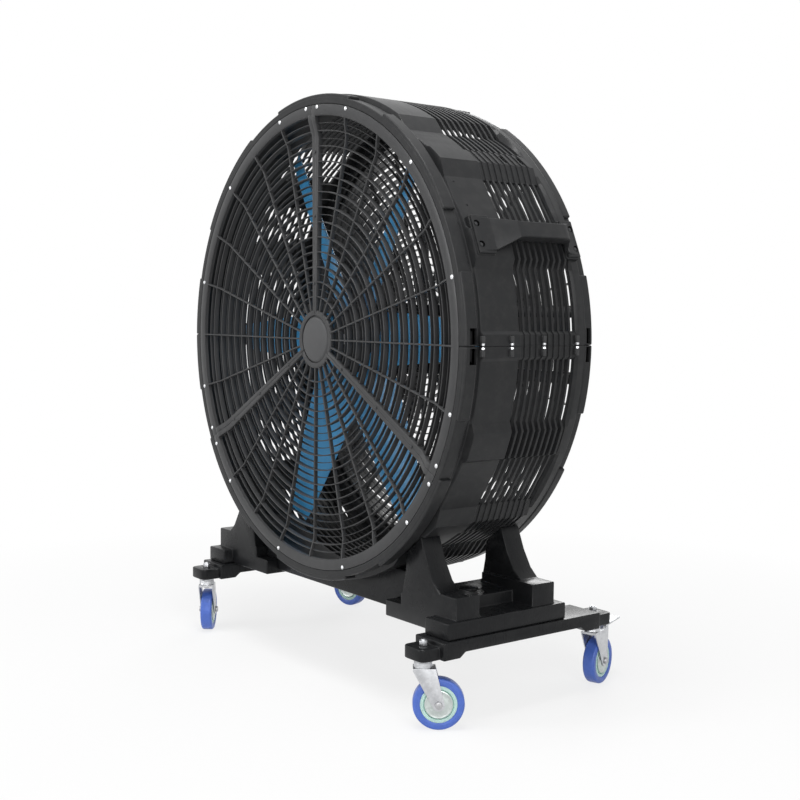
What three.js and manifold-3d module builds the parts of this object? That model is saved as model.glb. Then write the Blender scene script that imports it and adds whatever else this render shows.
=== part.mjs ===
// A drum fan on four casters: a slotted two-piece drum between dished guards, a six-blade propeller
// on a direct-drive motor, and a wheeled base of two side frames joined by a cross-beam.
// Millimetres, +Z up, the front of the drum faces -Y. Angles round the drum run clockwise from its
// top, as seen from the front.
import * as THREE from "three";
import { mergeVertices } from "three/addons/utils/BufferGeometryUtils.js";
import Module from "manifold-3d";

const wasm = await Module();
wasm.setup();

// ---- Fits ----
const FIT = 0.3; // gap left between pieces that touch
const BUSH_PLAY = 1; // wheel bore over axle, on the radius

const OVERLAP = 1; // how far a cutting tool or a root runs past the face that it meets

// ---- Facets ----
const ROUND_DRUM = 72; // sides of what is trimmed to the drum
const ROUND_LARGE = 18; // sides of the hub, the motor and the guards' plates
const ROUND_WHEEL = 16;
const ROUND_SMALL = 8;

// ---- Casters ----
const WHEEL_DIAMETER = 125;
const TYRE_WIDTH = 34;
const TYRE_SHOULDER = 5;
const TYRE_DRAFT = 2; // each side, from the shoulder in to the core
const CORE_DIAMETER = 90;
const CORE_RIM_INSET = 3; // core's rim inside the tyre's sides
const GUARD_DIAMETER = 68;
const GUARD_SIDE_GAP = 1; // wheel guard to fork cheek
const AXLE_DIAMETER = 12;
const AXLE_HEAD_DIAMETER = 18;
const AXLE_HEAD_HEIGHT = 6;
const TRAIL = 38; // stem axis to axle
const CHEEK_GAP = 2; // tyre to cheek
const CHEEK_THICKNESS = 3;
const CHEEK_BOSS_RADIUS = 15;
const CHEEK_BOSS_ARC = 162; // degrees of the boss's round edge
const CROWN_CLEARANCE = 19; // tyre to crown
const CROWN_THICKNESS = 6;
const CROWN_FRONT = 24; // crown ahead of the stem
const CROWN_BACK = 30; // crown behind the stem
const RACE_RADIUS = 22;
const RACE_HEIGHT = 12.7;
const STEM_PLATE_HEIGHT = 7.4;
const STEM_DIAMETER = 12;
const STEM_HEAD_DIAMETER = 18;
const STEM_HEAD_HEIGHT = 5.5;
const STEM_TIP = 3; // thread showing above the nut
const NUT_ACROSS_FLATS = 18.8;
const NUT_HEIGHT = 12; // with its washer

// ---- Brake pedals on the rear casters ----
const PEDAL_PIVOT_REACH = 48; // behind the stem
const PEDAL_PIVOT_RISE = 6; // above the crown
const PEDAL_PIN_DIAMETER = 8;
const PEDAL_EAR_RADIUS = 9;
const PEDAL_REACH = 136;
const PEDAL_TREAD_START = 13; // behind the pivot
const PEDAL_TREAD_WIDTH = 40;
const PEDAL_THICKNESS = 5;
const PEDAL_TIP_RISE = 7;
const SHOE_CLEARANCE = 2; // resting shoe over the tyre
const SHOE_START = 2; // behind the pivot
const SHOE_LENGTH = 26;

// ---- Drum ----
const DRUM_RADIUS = 643; // outside of the barrel
const DRUM_WALL = 5;
const DRUM_DEPTH = 410;
const RING_RISE = 2; // end rings over the barrel
const RING_DEPTH = 36;
const RING_BEVEL = 9;
const RING_FACE_WIDTH = 24;
const LEDGE_WIDTH = 19;
const SLOT_COUNT = 10;
const SLOT_START = 167; // first slot behind the front face
const SLOT_END = 53; // last rib ahead of the rear face
const RIB_WIDTH = 8.5; // between two slots
const COLUMN_STEP = 13.4; // largest facet of the drum, in degrees
const BOSS_RISE = 16; // bosses over the barrel
const UPPER_BOSS_ANGLES = [42.5, 47.5];
const LOWER_BOSS_ANGLES = [107.7, 114.7];
const SEAM_PAD_RISE = 14;
const SEAM_PAD_ANGLE = 2.6; // each side of the joint between the halves
const SEAM_PAD_FRONT = 41;
const SEAM_PAD_BACK = 67; // ahead of the drum's rear face
const SPINE_ANGLE = 2.5; // half width of the solid strip at top and bottom

// ---- Guards ----
const FLANGE_WIDTH = 27;
const FLANGE_THICKNESS = 6;
const GUARD_RECESS = 14;
const GUARD_BEND = 60; // width of the stretch that curves up to the flange
const BAR_WIDTH = 3;
const BAR_DEPTH = 11;
const SPOKE_WIDTH = 4.4;
const SEAM_SPOKE_ROOT = 18; // width of two joined seam spokes at the hub
const SEAM_SPOKE_RIM = 48; // and at the flange
const GUARD_HUB_RADIUS = 78;
const GUARD_HUB_RING = 14;
const GUARD_HUB_GAP = 40; // least gap between the hub ring and the first thin ring
const FRONT_RING_PITCH = 79.8;
const FRONT_SPOKE_ANGLE = 15;
const REAR_RING_PITCH = 79.8;
const REAR_SPOKE_ANGLE = 30;
const GUARD_SEGMENTS = 3;
const HUB_PLATE_THICKNESS = 4;
const CAP_BEVEL = 4;
const CAP_RECESS = 3;

// ---- Propeller and motor ----
const BLADE_COUNT = 6;
const BLADE_START_ANGLE = 29;
const BLADE_TIP_CLEARANCE = 30; // blade tips to the inside of the barrel
const BLADE_SETBACK = 255; // middle of the blades ahead of the drum's rear face
const BLADE_ROOT_CHORD = 175;
const BLADE_TIP_CHORD = 80;
const BLADE_ROOT_ANGLE = 26; // the clockwise edge stands forward
const BLADE_TIP_ANGLE = 22;
const BLADE_CAMBER = 12;
const BLADE_THICKNESS = 5;
const BLADE_ROOT_SINK = 12; // blade drawn inside the hub before it is trimmed
const HUB_RADIUS = 92;
const HUB_NOSE_RADIUS = 66;
const HUB_NOSE = 18;
const HUB_LENGTH = 80;
const SHAFT_DIAMETER = 28;
const SHAFT_PLAY = 0.6; // bearing over shaft, on the radius
const SHAFT_TIP = 6; // shaft ahead of the hub
const SHAFT_END_GAP = 2; // behind the shaft, inside the motor
const SHAFT_IN_MOTOR = 45;
const MOTOR_RADIUS = 102;
const MOTOR_GAP = 11; // hub to motor
const MOTOR_COVER_DEPTH = 16;
const MOTOR_COVER_BEVEL = 12;
const MOTOR_PLATE_THICKNESS = 6;
const MOTOR_PLATE_WIDTH = 190;
const STRUT_DEPTH = 23;
const STRUT_HEIGHT = 30;
const STRUT_SPREAD = 82; // strut above and below the drum axis
const STRUT_REAR_GAP = 3; // struts to the plate of the rear guard

// ---- Handles ----
const HANDLE_ANGLE = 66.9;
const HANDLE_PAD_WIDTH = 97;
const HANDLE_PAD_THICKNESS = 6;
const HANDLE_FRONT_PAD = [55, 106]; // measured back from the drum's front face
const HANDLE_REAR_PAD = [70, 29]; // ahead of the drum's rear face
const HANDLE_GRIP_START = 165; // behind the front face
const HANDLE_GRIP_END = 90; // ahead of the rear face
const HANDLE_WIDTH = 40;
const HANDLE_RISE = 43; // top of the grip over the boss
const HANDLE_NECK_RISE = 2; // bar over the pads' inner ends
const HANDLE_BEND = 10; // under the grip, at each end
const HANDLE_GRIP_THICKNESS = 27;
const HANDLE_BOSS_MARGIN = 2;
const HANDLE_BOSS_SINK = 3; // boss inside the drum's inner face

// ---- Base ----
const RAIL_WIDTH = 112;
const RAIL_HEIGHT = 43;
const RAIL_RELIEF = 13; // hollow under the middle of a rail
const RAIL_END = 51; // full-height length at each end
const RAIL_CHAMFER = 17;
const RAIL_FRONT = -6;
const RAIL_BACK = 520;
const RAIL_OUTSET = 102; // rail centre outside the saddle's outer edge
const FOOT_WIDTH = 78;
const FOOT_HEIGHT = 31;
const FOOT_CORNER = 18;
const FRONT_FOOT_REACH = 53;
const REAR_FOOT_REACH = 65;
const FRONT_STEM_REACH = 19; // stem beyond the rail
const REAR_STEM_REACH = 30;
const SLAB_HEIGHT = 42;
const SLAB_INREACH = 141; // slab inside the saddle's outer edge
const SLAB_OUTREACH = 150;
const STEP_WIDTH = 90;
const STEP_OVERHANG = 31;
const FRAME_FRONT = 43;
const FRAME_DEPTH = 326;
const BLOCK_HEIGHT = 56;
const BLOCK_DEPTH = 76;
const BLOCK_OUTREACH = 140;
const BLOCK_INREACH = 56;
const TOWER_HEIGHT = 127; // block to the saddle's outer edge
const TOWER_DEPTH = 62;
const TOWER_FOOT_OUT = 79;
const TOWER_FOOT_IN = 78;
const TOWER_FLARE = 40;
const TOWER_NECK_IN = 0.85; // share of the way from the foot to the saddle, inwards
const TOWER_NECK_UP = 0.4; // and upwards
const SADDLE_OUTER_ANGLE = 42.4; // from the bottom of the drum
const SADDLE_INNER_ANGLE = 35.9;
const SADDLE_STEPS = 2;
const PLATFORM_HEIGHT = 31;
const PLATFORM_OUTREACH = 66;
const PLATFORM_BOSS_RADIUS = 25;
const PLATFORM_BOSS_HEIGHT = 6;
const BEAM_SETBACK = 37; // beam behind the frame's front face
const BEAM_DEPTH = 105;
const BEAM_LIFT = 11; // beam over the slab's underside
const BEAM_SHOULDER = 20; // beam over the blocks
const BEAM_STEPS = 10;

// Resting directions of the four casters, from stem to axle, anticlockwise from +X seen from above.
const CASTERS = [
  { name: "front_right", side: 1, rear: false, trailAngle: 52.7 },
  { name: "front_left", side: -1, rear: false, trailAngle: 142.7 },
  { name: "rear_right", side: 1, rear: true, trailAngle: 109.7 },
  { name: "rear_left", side: -1, rear: true, trailAngle: 195 },
];

// ---- Sizes that follow from the ones above ----
const rad = THREE.MathUtils.degToRad;
const ringRadius = DRUM_RADIUS + RING_RISE;
const bossRadius = DRUM_RADIUS + BOSS_RISE;
const seamPadRadius = DRUM_RADIUS + SEAM_PAD_RISE;
const innerRadius = Math.min(DRUM_RADIUS, ringRadius) - DRUM_WALL;
const wheelRadius = WHEEL_DIAMETER / 2;
const crownBottom = WHEEL_DIAMETER + CROWN_CLEARANCE;
const crownTop = crownBottom + CROWN_THICKNESS;
const raceTop = crownTop + RACE_HEIGHT;
const stemPlateTop = raceTop + FIT + STEM_PLATE_HEIGHT;
const railBottom = stemPlateTop + FIT;
const footTop = railBottom + FOOT_HEIGHT;
const slabBottom = railBottom + RAIL_HEIGHT + FIT;
const slabTop = slabBottom + SLAB_HEIGHT;
const blockTop = slabTop + BLOCK_HEIGHT;
const seatRadius = DRUM_RADIUS + FIT;
const axisHeight = blockTop + TOWER_HEIGHT + seatRadius * Math.cos(rad(SADDLE_OUTER_ANGLE));
const saddleX = seatRadius * Math.sin(rad(SADDLE_OUTER_ANGLE));
const railX = saddleX + RAIL_OUTSET;
const frameBack = FRAME_FRONT + FRAME_DEPTH;
const cheekInside = TYRE_WIDTH / 2 + CHEEK_GAP;
const flangeRadius = ringRadius - RING_FACE_WIDTH;
const flangeInner = flangeRadius - FLANGE_WIDTH;
const guardBack = GUARD_RECESS + BAR_DEPTH;
const slotPitch = (DRUM_DEPTH - SLOT_START - SLOT_END) / SLOT_COUNT;
const handlePads = [HANDLE_FRONT_PAD, HANDLE_REAR_PAD.map((y) => DRUM_DEPTH - y)];
const bladeTip = innerRadius - BLADE_TIP_CLEARANCE;
const bladeMiddle = DRUM_DEPTH - BLADE_SETBACK;
const hubFront = bladeMiddle - HUB_LENGTH / 2;
const hubBack = bladeMiddle + HUB_LENGTH / 2;
const motorFront = hubBack + MOTOR_GAP;
const strutBack = DRUM_DEPTH - guardBack - HUB_PLATE_THICKNESS - STRUT_REAR_GAP;
const strutFront = strutBack - STRUT_DEPTH;
const motorBack = strutFront - MOTOR_PLATE_THICKNESS - 2 * FIT;
const pivotHeight = crownTop + PEDAL_PIVOT_RISE;
const SEAM_GAP_ANGLE = THREE.MathUtils.radToDeg(FIT / 2 / DRUM_RADIUS);

const FINISHES = {
  moulding: { color: 0x3b3d3f, roughness: 0.5, metalness: 0 },
  grille: { color: 0x45474a, roughness: 0.45, metalness: 0.1 },
  base: { color: 0x2f3032, roughness: 0.55, metalness: 0 },
  blade: { color: 0x3f85b5, roughness: 0.35, metalness: 0 },
  motor: { color: 0x2b2c2e, roughness: 0.5, metalness: 0.4 },
  zinc: { color: 0xb9bcc0, roughness: 0.35, metalness: 0.9 },
  tyre: { color: 0x4f6fc4, roughness: 0.5, metalness: 0 },
  core: { color: 0xb9d3c6, roughness: 0.45, metalness: 0 },
  steel: { color: 0x8d9094, roughness: 0.4, metalness: 0.9 },
};

// ---- Solids ----

// The radius of a faceted bore whose flats stay clear of a shaft however it turns.
function boreFor(diameter, play, sides) {
  return (diameter / 2 + play) / Math.cos(Math.PI / sides);
}

// A geometry as a solid that can be joined and cut.
function solidFrom(geometry) {
  const bare = geometry.clone();
  bare.deleteAttribute("normal");
  bare.deleteAttribute("uv");
  const merged = mergeVertices(bare, 1e-4);
  const vertProperties = merged.attributes.position.array;
  const triVerts = new Uint32Array(merged.index.array);
  return new wasm.Manifold(new wasm.Mesh({ numProp: 3, vertProperties, triVerts }));
}

function geometryFrom(solid) {
  const mesh = solid.getMesh();
  const geometry = new THREE.BufferGeometry();
  geometry.setAttribute("position", new THREE.BufferAttribute(mesh.vertProperties, 3));
  geometry.setIndex(new THREE.BufferAttribute(mesh.triVerts, 1));
  const faceted = geometry.toNonIndexed();
  faceted.computeVertexNormals();
  return faceted;
}

function join(...geometries) {
  return geometryFrom(geometries.map(solidFrom).reduce((whole, piece) => whole.add(piece)));
}

function cut(geometry, ...tools) {
  const whole = solidFrom(geometry);
  return geometryFrom(tools.map(solidFrom).reduce((rest, tool) => rest.subtract(tool), whole));
}

function common(first, second) {
  return geometryFrom(solidFrom(first).intersect(solidFrom(second)));
}

// A solid turned about Y from [radius, y] points. The points start and end on the axis.
function turned(points, segments) {
  const profile = points.map(([radius, y]) => new THREE.Vector2(radius, y));
  if (THREE.ShapeUtils.area(profile) < 0) profile.reverse();
  return new THREE.LatheGeometry(profile, segments);
}

// The same with a hole along the axis.
function turnedRing(points, segments) {
  return turned([...points, points[0]], segments);
}

// Turned about Z instead: the points are [radius, z].
function turnedUpright(points, segments) {
  return turned(points, segments).rotateX(Math.PI / 2);
}

function box([x0, x1], [y0, y1], [z0, z1]) {
  const geometry = new THREE.BoxGeometry(Math.abs(x1 - x0), y1 - y0, z1 - z0);
  return geometry.translate((x0 + x1) / 2, (y0 + y1) / 2, (z0 + z1) / 2);
}

function outline(points) {
  return new THREE.Shape(points.map(([u, v]) => new THREE.Vector2(u, v)));
}

// An outline in x and z, drawn out from y = front to y = back.
function drawnAlongY(shape, front, back) {
  const settings = { depth: back - front, bevelEnabled: false, curveSegments: 3 };
  return new THREE.ExtrudeGeometry(shape, settings).rotateX(Math.PI / 2).translate(0, back, 0);
}

// An outline in y and z, drawn out along x.
function drawnAlongX(shape, left, right) {
  const turn = new THREE.Matrix4().makeBasis(
    new THREE.Vector3(0, 1, 0),
    new THREE.Vector3(0, 0, 1),
    new THREE.Vector3(1, 0, 0),
  );
  const geometry = new THREE.ExtrudeGeometry(shape, { depth: right - left, bevelEnabled: false });
  return geometry.applyMatrix4(turn).translate(left, 0, 0);
}

// A point at a radius and a clockwise angle about the drum's axis.
function onDrum(radius, angle, y) {
  return [radius * Math.sin(rad(angle)), y, axisHeight + radius * Math.cos(rad(angle))];
}

// A walled surface over a grid of rows and columns. front and back give a point of each face, and
// filled says which cells hold material. Every edge between a filled and an empty cell is closed.
// Points of a face may coincide, which gives a ridge.
function latticeSolid(rows, columns, front, back, filled) {
  const positions = [];
  const same = (a, b) => a.every((value, k) => Math.abs(value - b[k]) < 1e-6);
  const triangle = (a, b, c) => {
    if (!same(a, b) && !same(b, c) && !same(c, a)) positions.push(...a, ...b, ...c);
  };
  const quad = (a, b, c, d) => {
    triangle(a, c, b);
    triangle(a, d, c);
  };
  const holds = (i, j) => i >= 0 && j >= 0 && i < rows - 1 && j < columns - 1 && filled(i, j);
  for (let i = 0; i < rows - 1; i += 1) {
    for (let j = 0; j < columns - 1; j += 1) {
      if (!holds(i, j)) continue;
      quad(front(i, j), front(i + 1, j), front(i + 1, j + 1), front(i, j + 1));
      quad(back(i, j), back(i, j + 1), back(i + 1, j + 1), back(i + 1, j));
      if (!holds(i - 1, j)) quad(front(i, j), front(i, j + 1), back(i, j + 1), back(i, j));
      if (!holds(i + 1, j)) {
        quad(front(i + 1, j), back(i + 1, j), back(i + 1, j + 1), front(i + 1, j + 1));
      }
      if (!holds(i, j - 1)) quad(front(i, j), back(i, j), back(i + 1, j), front(i + 1, j));
      if (!holds(i, j + 1)) {
        quad(front(i, j + 1), front(i + 1, j + 1), back(i + 1, j + 1), back(i, j + 1));
      }
    }
  }
  const geometry = new THREE.BufferGeometry();
  geometry.setAttribute("position", new THREE.Float32BufferAttribute(positions, 3));
  return geometry;
}

// ---- Drum ----

// The drum's section from the front guard's ledge to the rear one, as [radius, y] points of its
// outside. The stretches between slots alternate with the slots themselves.
function drumSection() {
  const ledge = (flangeRadius + FIT) / Math.cos(rad(COLUMN_STEP / 2));
  const seat = FLANGE_THICKNESS + FIT;
  const head = [
    [ledge - LEDGE_WIDTH, seat],
    [ledge, seat],
    [ledge, 0],
    [ringRadius - RING_BEVEL, 0],
    [ringRadius, RING_BEVEL],
    [ringRadius, RING_DEPTH],
    [DRUM_RADIUS, RING_DEPTH + DRUM_WALL],
  ];
  const slots = [];
  for (let k = 0; k < SLOT_COUNT; k += 1) {
    const start = SLOT_START + k * slotPitch;
    slots.push([DRUM_RADIUS, start], [DRUM_RADIUS, start + slotPitch - RIB_WIDTH]);
  }
  const tail = head.map(([radius, y]) => [radius, DRUM_DEPTH - y]).reverse();
  return { points: [...head, ...slots, ...tail], firstSlot: head.length };
}

// The section's inner face: each stretch moved inwards by the wall, mitred where two meet.
function innerFace(points, wall) {
  const normals = points.slice(1).map(([r1, y1], i) => {
    const [r0, y0] = points[i];
    const length = Math.hypot(r1 - r0, y1 - y0);
    return [(y0 - y1) / length, (r1 - r0) / length];
  });
  return points.map(([radius, y], i) => {
    const before = normals[Math.max(i - 1, 0)];
    const after = normals[Math.min(i, normals.length - 1)];
    const scale = wall / (1 + before[0] * after[0] + before[1] * after[1]);
    return [radius + (before[0] + after[0]) * scale, y + (before[1] + after[1]) * scale];
  });
}

// Angles through all the marks, with no step above the largest facet.
function anglesThrough(marks) {
  const angles = [marks[0]];
  marks.slice(1).forEach((mark, i) => {
    const steps = Math.ceil((mark - marks[i]) / COLUMN_STEP);
    for (let k = 1; k <= steps; k += 1) angles.push(marks[i] + ((mark - marks[i]) * k) / steps);
  });
  return angles;
}

// A block on the drum between two angles, sunk halfway into its wall.
function drumBlock(radius, from, to, front, back) {
  const root = DRUM_RADIUS - DRUM_WALL / 2;
  const corners = [
    onDrum(root, from, 0),
    onDrum(radius, from, 0),
    onDrum(radius, to, 0),
    onDrum(root, to, 0),
  ];
  return drawnAlongY(outline(corners.map(([x, , z]) => [x, z])), front, back);
}

// Half a drum, centred on an angle, with solid strips where the bosses stand.
function drumHalf(centre, bossAngles) {
  const edge = 90 - SEAM_GAP_ANGLE;
  const pad = 90 - SEAM_PAD_ANGLE;
  const [bossFrom, bossTo] = bossAngles;
  const right = [0, SPINE_ANGLE, bossFrom, bossTo, pad, edge];
  const marks = [...right.slice(1).map((a) => -a).reverse(), ...right.slice(1)];
  const angles = anglesThrough(marks);
  const strips = [
    [-SPINE_ANGLE, SPINE_ANGLE],
    [bossFrom, bossTo],
    [pad, edge],
  ];
  const within = (angle, [from, to]) => Math.abs(angle) > from && Math.abs(angle) < to;
  const inStrip = (angle) => strips.some((strip) => within(angle, strip));
  const { points, firstSlot } = drumSection();
  const inner = innerFace(points, DRUM_WALL);
  const lastSlot = firstSlot + 2 * SLOT_COUNT;
  const isSlot = (i) => i >= firstSlot && i < lastSlot && (i - firstSlot) % 2 === 0;
  const shell = latticeSolid(
    points.length,
    angles.length,
    (i, j) => onDrum(points[i][0], centre + angles[j], points[i][1]),
    (i, j) => onDrum(inner[i][0], centre + angles[j], inner[i][1]),
    (i, j) => !isSlot(i) || inStrip((angles[j] + angles[j + 1]) / 2),
  );
  const back = DRUM_DEPTH - RING_DEPTH;
  const padBack = DRUM_DEPTH - SEAM_PAD_BACK;
  const blocks = [-1, 1].flatMap((side) => {
    const turn = (angle) => centre + side * angle;
    return [
      drumBlock(bossRadius, turn(bossFrom), turn(bossTo), RING_DEPTH, back),
      drumBlock(seamPadRadius, turn(pad), turn(edge), SEAM_PAD_FRONT, padBack),
    ];
  });
  return join(shell, ...blocks);
}

// The flat-topped bosses that a handle is bolted to.
function handleBosses(side) {
  const width = HANDLE_PAD_WIDTH / 2 + HANDLE_BOSS_MARGIN;
  const bottom = DRUM_RADIUS - DRUM_WALL - HANDLE_BOSS_SINK;
  return handlePads.map(([front, back]) => {
    const range = [front - HANDLE_BOSS_MARGIN, back + HANDLE_BOSS_MARGIN];
    const boss = box([-width, width], range, [bottom, bossRadius]);
    return boss.rotateY(rad(side * HANDLE_ANGLE)).translate(0, 0, axisHeight);
  });
}

function upperShell() {
  return join(drumHalf(0, UPPER_BOSS_ANGLES), ...handleBosses(1), ...handleBosses(-1));
}

function lowerShell() {
  const [from, to] = LOWER_BOSS_ANGLES;
  return drumHalf(180, [180 - to, 180 - from]);
}

// A handle in its own frame: z points away from the drum's axis.
function handle() {
  const seat = bossRadius + FIT;
  const pads = handlePads.map((range) =>
    box([-HANDLE_PAD_WIDTH / 2, HANDLE_PAD_WIDTH / 2], range, [seat, seat + HANDLE_PAD_THICKNESS]),
  );
  const top = seat + HANDLE_RISE;
  const under = top - HANDLE_GRIP_THICKNESS;
  const pad = seat + HANDLE_PAD_THICKNESS;
  const neck = pad + HANDLE_NECK_RISE;
  const [[front, frontEnd], [rearEnd, rear]] = handlePads;
  const gripEnd = DRUM_DEPTH - HANDLE_GRIP_END;
  const side = outline([
    [front, seat],
    [front, pad],
    [frontEnd, neck],
    [HANDLE_GRIP_START, top],
    [gripEnd, top],
    [rearEnd, neck],
    [rear, pad],
    [rear, seat],
    [rearEnd, seat],
    [gripEnd - HANDLE_BEND, under],
    [HANDLE_GRIP_START + HANDLE_BEND, under],
    [frontEnd, seat],
  ]);
  return join(drawnAlongX(side, -HANDLE_WIDTH / 2, HANDLE_WIDTH / 2), ...pads);
}

// ---- Guards ----

// How far a guard lies behind its flange at a radius.
function guardDish(radius) {
  return GUARD_RECESS * THREE.MathUtils.smoothstep(flangeInner - radius, 0, GUARD_BEND);
}

// The radii of a guard's bars: the hub ring, the rings at their pitch, and the flange.
function guardRows(ringPitch) {
  const rows = [GUARD_HUB_RADIUS - GUARD_HUB_RING, GUARD_HUB_RADIUS];
  const rings = [];
  const least = GUARD_HUB_RADIUS + GUARD_HUB_GAP;
  for (let r = flangeInner - ringPitch; r > least; r -= ringPitch) {
    rings.unshift(r - BAR_WIDTH / 2, r + BAR_WIDTH / 2);
  }
  return [...rows, ...rings, flangeInner, flangeRadius];
}

// The edges of a segment's spokes: the angle of each spoke and the offset of its edge.
function guardColumns(from, to, spokeAngle) {
  const seam = (radius) => {
    const share = (radius - GUARD_HUB_RADIUS) / (flangeInner - GUARD_HUB_RADIUS);
    return THREE.MathUtils.lerp(SEAM_SPOKE_ROOT, SEAM_SPOKE_RIM, THREE.MathUtils.clamp(share, 0, 1)) / 2;
  };
  const columns = [
    { angle: from, offset: () => FIT / 2 },
    { angle: from, offset: seam },
  ];
  for (let angle = from + spokeAngle; angle < to - spokeAngle / 2; angle += spokeAngle) {
    for (const side of [-1, 1]) {
      columns.push({ angle, offset: () => (side * SPOKE_WIDTH) / 2, ridged: true });
    }
  }
  columns.push({ angle: to, offset: (radius) => -seam(radius) }, { angle: to, offset: () => -FIT / 2 });
  return columns;
}

// A third of a guard: rings and spokes between two seam spokes, dished and flanged. The thin bars
// narrow to a ridge at the front.
function guardSegment(index, ringPitch, spokeAngle) {
  const span = 360 / GUARD_SEGMENTS;
  const rows = guardRows(ringPitch);
  const columns = guardColumns(index * span, (index + 1) * span, spokeAngle);
  const point = (radius, column, offset, depth) => {
    const angle = column.angle + THREE.MathUtils.radToDeg(Math.asin(offset / radius));
    return onDrum(radius, angle, guardDish(radius) + depth);
  };
  const isRing = (i) => i > 1 && i < rows.length - 2;
  const ridge = (i) => (rows[i] + rows[i % 2 === 0 ? i + 1 : i - 1]) / 2;
  const backDepth = (i) => (i >= rows.length - 2 ? FLANGE_THICKNESS : BAR_DEPTH);
  return latticeSolid(
    rows.length,
    columns.length,
    (i, j) => {
      const radius = isRing(i) ? ridge(i) : rows[i];
      return point(radius, columns[j], columns[j].ridged ? 0 : columns[j].offset(radius), 0);
    },
    (i, j) => point(rows[i], columns[j], columns[j].offset(rows[i]), backDepth(i)),
    (i, j) => i % 2 === 0 || j % 2 === 0,
  );
}

// The rear guard is the front one turned to face backwards.
function facingBack(geometry) {
  return geometry.rotateZ(Math.PI).translate(0, DRUM_DEPTH, 0);
}

function onAxis(geometry) {
  return geometry.translate(0, 0, axisHeight);
}

// The plate behind a guard's hub ring, that the three segments are bolted to.
function guardPlate() {
  const front = guardBack + FIT;
  const back = front + HUB_PLATE_THICKNESS;
  const radius = GUARD_HUB_RADIUS;
  return onAxis(turned([[0, front], [radius, front], [radius, back], [0, back]], ROUND_LARGE));
}

// The round cap inside the hub ring.
function guardCap() {
  const radius = (GUARD_HUB_RADIUS - GUARD_HUB_RING) * Math.cos(rad(FRONT_SPOKE_ANGLE / 2)) - FIT;
  const front = GUARD_RECESS + CAP_RECESS;
  return onAxis(
    turned(
      [
        [0, front],
        [radius - CAP_BEVEL, front],
        [radius, front + CAP_BEVEL],
        [radius, guardBack],
        [0, guardBack],
      ],
      ROUND_LARGE,
    ),
  );
}

// ---- Propeller and motor ----

function propellerHub() {
  const bore = boreFor(SHAFT_DIAMETER, FIT, ROUND_LARGE);
  return onAxis(
    turnedRing(
      [
        [bore, hubFront],
        [HUB_NOSE_RADIUS, hubFront],
        [HUB_RADIUS, hubFront + HUB_NOSE],
        [HUB_RADIUS, hubBack],
        [bore, hubBack],
      ],
      ROUND_LARGE,
    ),
  );
}

// A twisted, cambered blade, cut to the hub with a small gap.
function blade(startAngle) {
  const rows = 5;
  const columns = 4;
  const root = HUB_RADIUS - BLADE_ROOT_SINK;
  const point = (i, j, side) => {
    const share = i / (rows - 1);
    const radius = THREE.MathUtils.lerp(root, bladeTip, share);
    const chord = THREE.MathUtils.lerp(BLADE_ROOT_CHORD, BLADE_TIP_CHORD, share);
    const pitch = -rad(THREE.MathUtils.lerp(BLADE_ROOT_ANGLE, BLADE_TIP_ANGLE, share));
    const across = (j / (columns - 1) - 0.5) * chord;
    const bow = BLADE_CAMBER * (1 - (2 * across / chord) ** 2) + (side * BLADE_THICKNESS) / 2;
    const around = across * Math.cos(pitch) - bow * Math.sin(pitch);
    const along = across * Math.sin(pitch) + bow * Math.cos(pitch);
    const angle = startAngle + THREE.MathUtils.radToDeg(around / radius);
    return onDrum(radius, angle, bladeMiddle + along - BLADE_CAMBER / 2);
  };
  const body = latticeSolid(
    rows,
    columns,
    (i, j) => point(i, j, -1),
    (i, j) => point(i, j, 1),
    () => true,
  );
  const clear = HUB_RADIUS + FIT;
  const front = bladeMiddle - HUB_LENGTH;
  const back = bladeMiddle + HUB_LENGTH;
  const trim = turned([[0, front], [clear, front], [clear, back], [0, back]], ROUND_LARGE);
  return cut(body, onAxis(trim));
}

function motorShaft() {
  const radius = SHAFT_DIAMETER / 2;
  const back = motorFront + SHAFT_IN_MOTOR;
  const front = hubFront - SHAFT_TIP;
  return onAxis(turned([[0, front], [radius, front], [radius, back], [0, back]], ROUND_WHEEL));
}

// The end bell that faces the hub.
function motorCover() {
  const bore = boreFor(SHAFT_DIAMETER, SHAFT_PLAY, ROUND_LARGE);
  const back = motorFront + MOTOR_COVER_DEPTH;
  return onAxis(
    turnedRing(
      [
        [bore, motorFront],
        [MOTOR_RADIUS - MOTOR_COVER_BEVEL, motorFront],
        [MOTOR_RADIUS, motorFront + MOTOR_COVER_BEVEL],
        [MOTOR_RADIUS, back],
        [bore, back],
      ],
      ROUND_LARGE,
    ),
  );
}

function motorHousing() {
  const bore = boreFor(SHAFT_DIAMETER, SHAFT_PLAY, ROUND_LARGE);
  const front = motorFront + MOTOR_COVER_DEPTH + FIT;
  const boreEnd = motorFront + SHAFT_IN_MOTOR + SHAFT_END_GAP;
  return onAxis(
    turned(
      [
        [0, boreEnd],
        [bore, boreEnd],
        [bore, front],
        [MOTOR_RADIUS, front],
        [MOTOR_RADIUS, motorBack],
        [0, motorBack],
      ],
      ROUND_LARGE,
    ),
  );
}

// The plate that carries the motor on the two struts.
function motorPlate() {
  const half = MOTOR_PLATE_WIDTH / 2;
  const reach = STRUT_SPREAD + STRUT_HEIGHT / 2;
  return onAxis(box([-half, half], [motorBack + FIT, strutFront - FIT], [-reach, reach]));
}

// A strut across the drum, its ends cut to the inside of the drum wall.
function motorStrut(side) {
  const inside = innerRadius * Math.cos(rad(COLUMN_STEP / 2)) - FIT;
  const bottom = side * STRUT_SPREAD - STRUT_HEIGHT / 2;
  const bar = box([-inside, inside], [strutFront, strutBack], [bottom, bottom + STRUT_HEIGHT]);
  const room = turned([[0, 0], [inside, 0], [inside, DRUM_DEPTH], [0, DRUM_DEPTH]], ROUND_DRUM);
  return onAxis(common(bar, room));
}

// ---- Base ----

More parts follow.
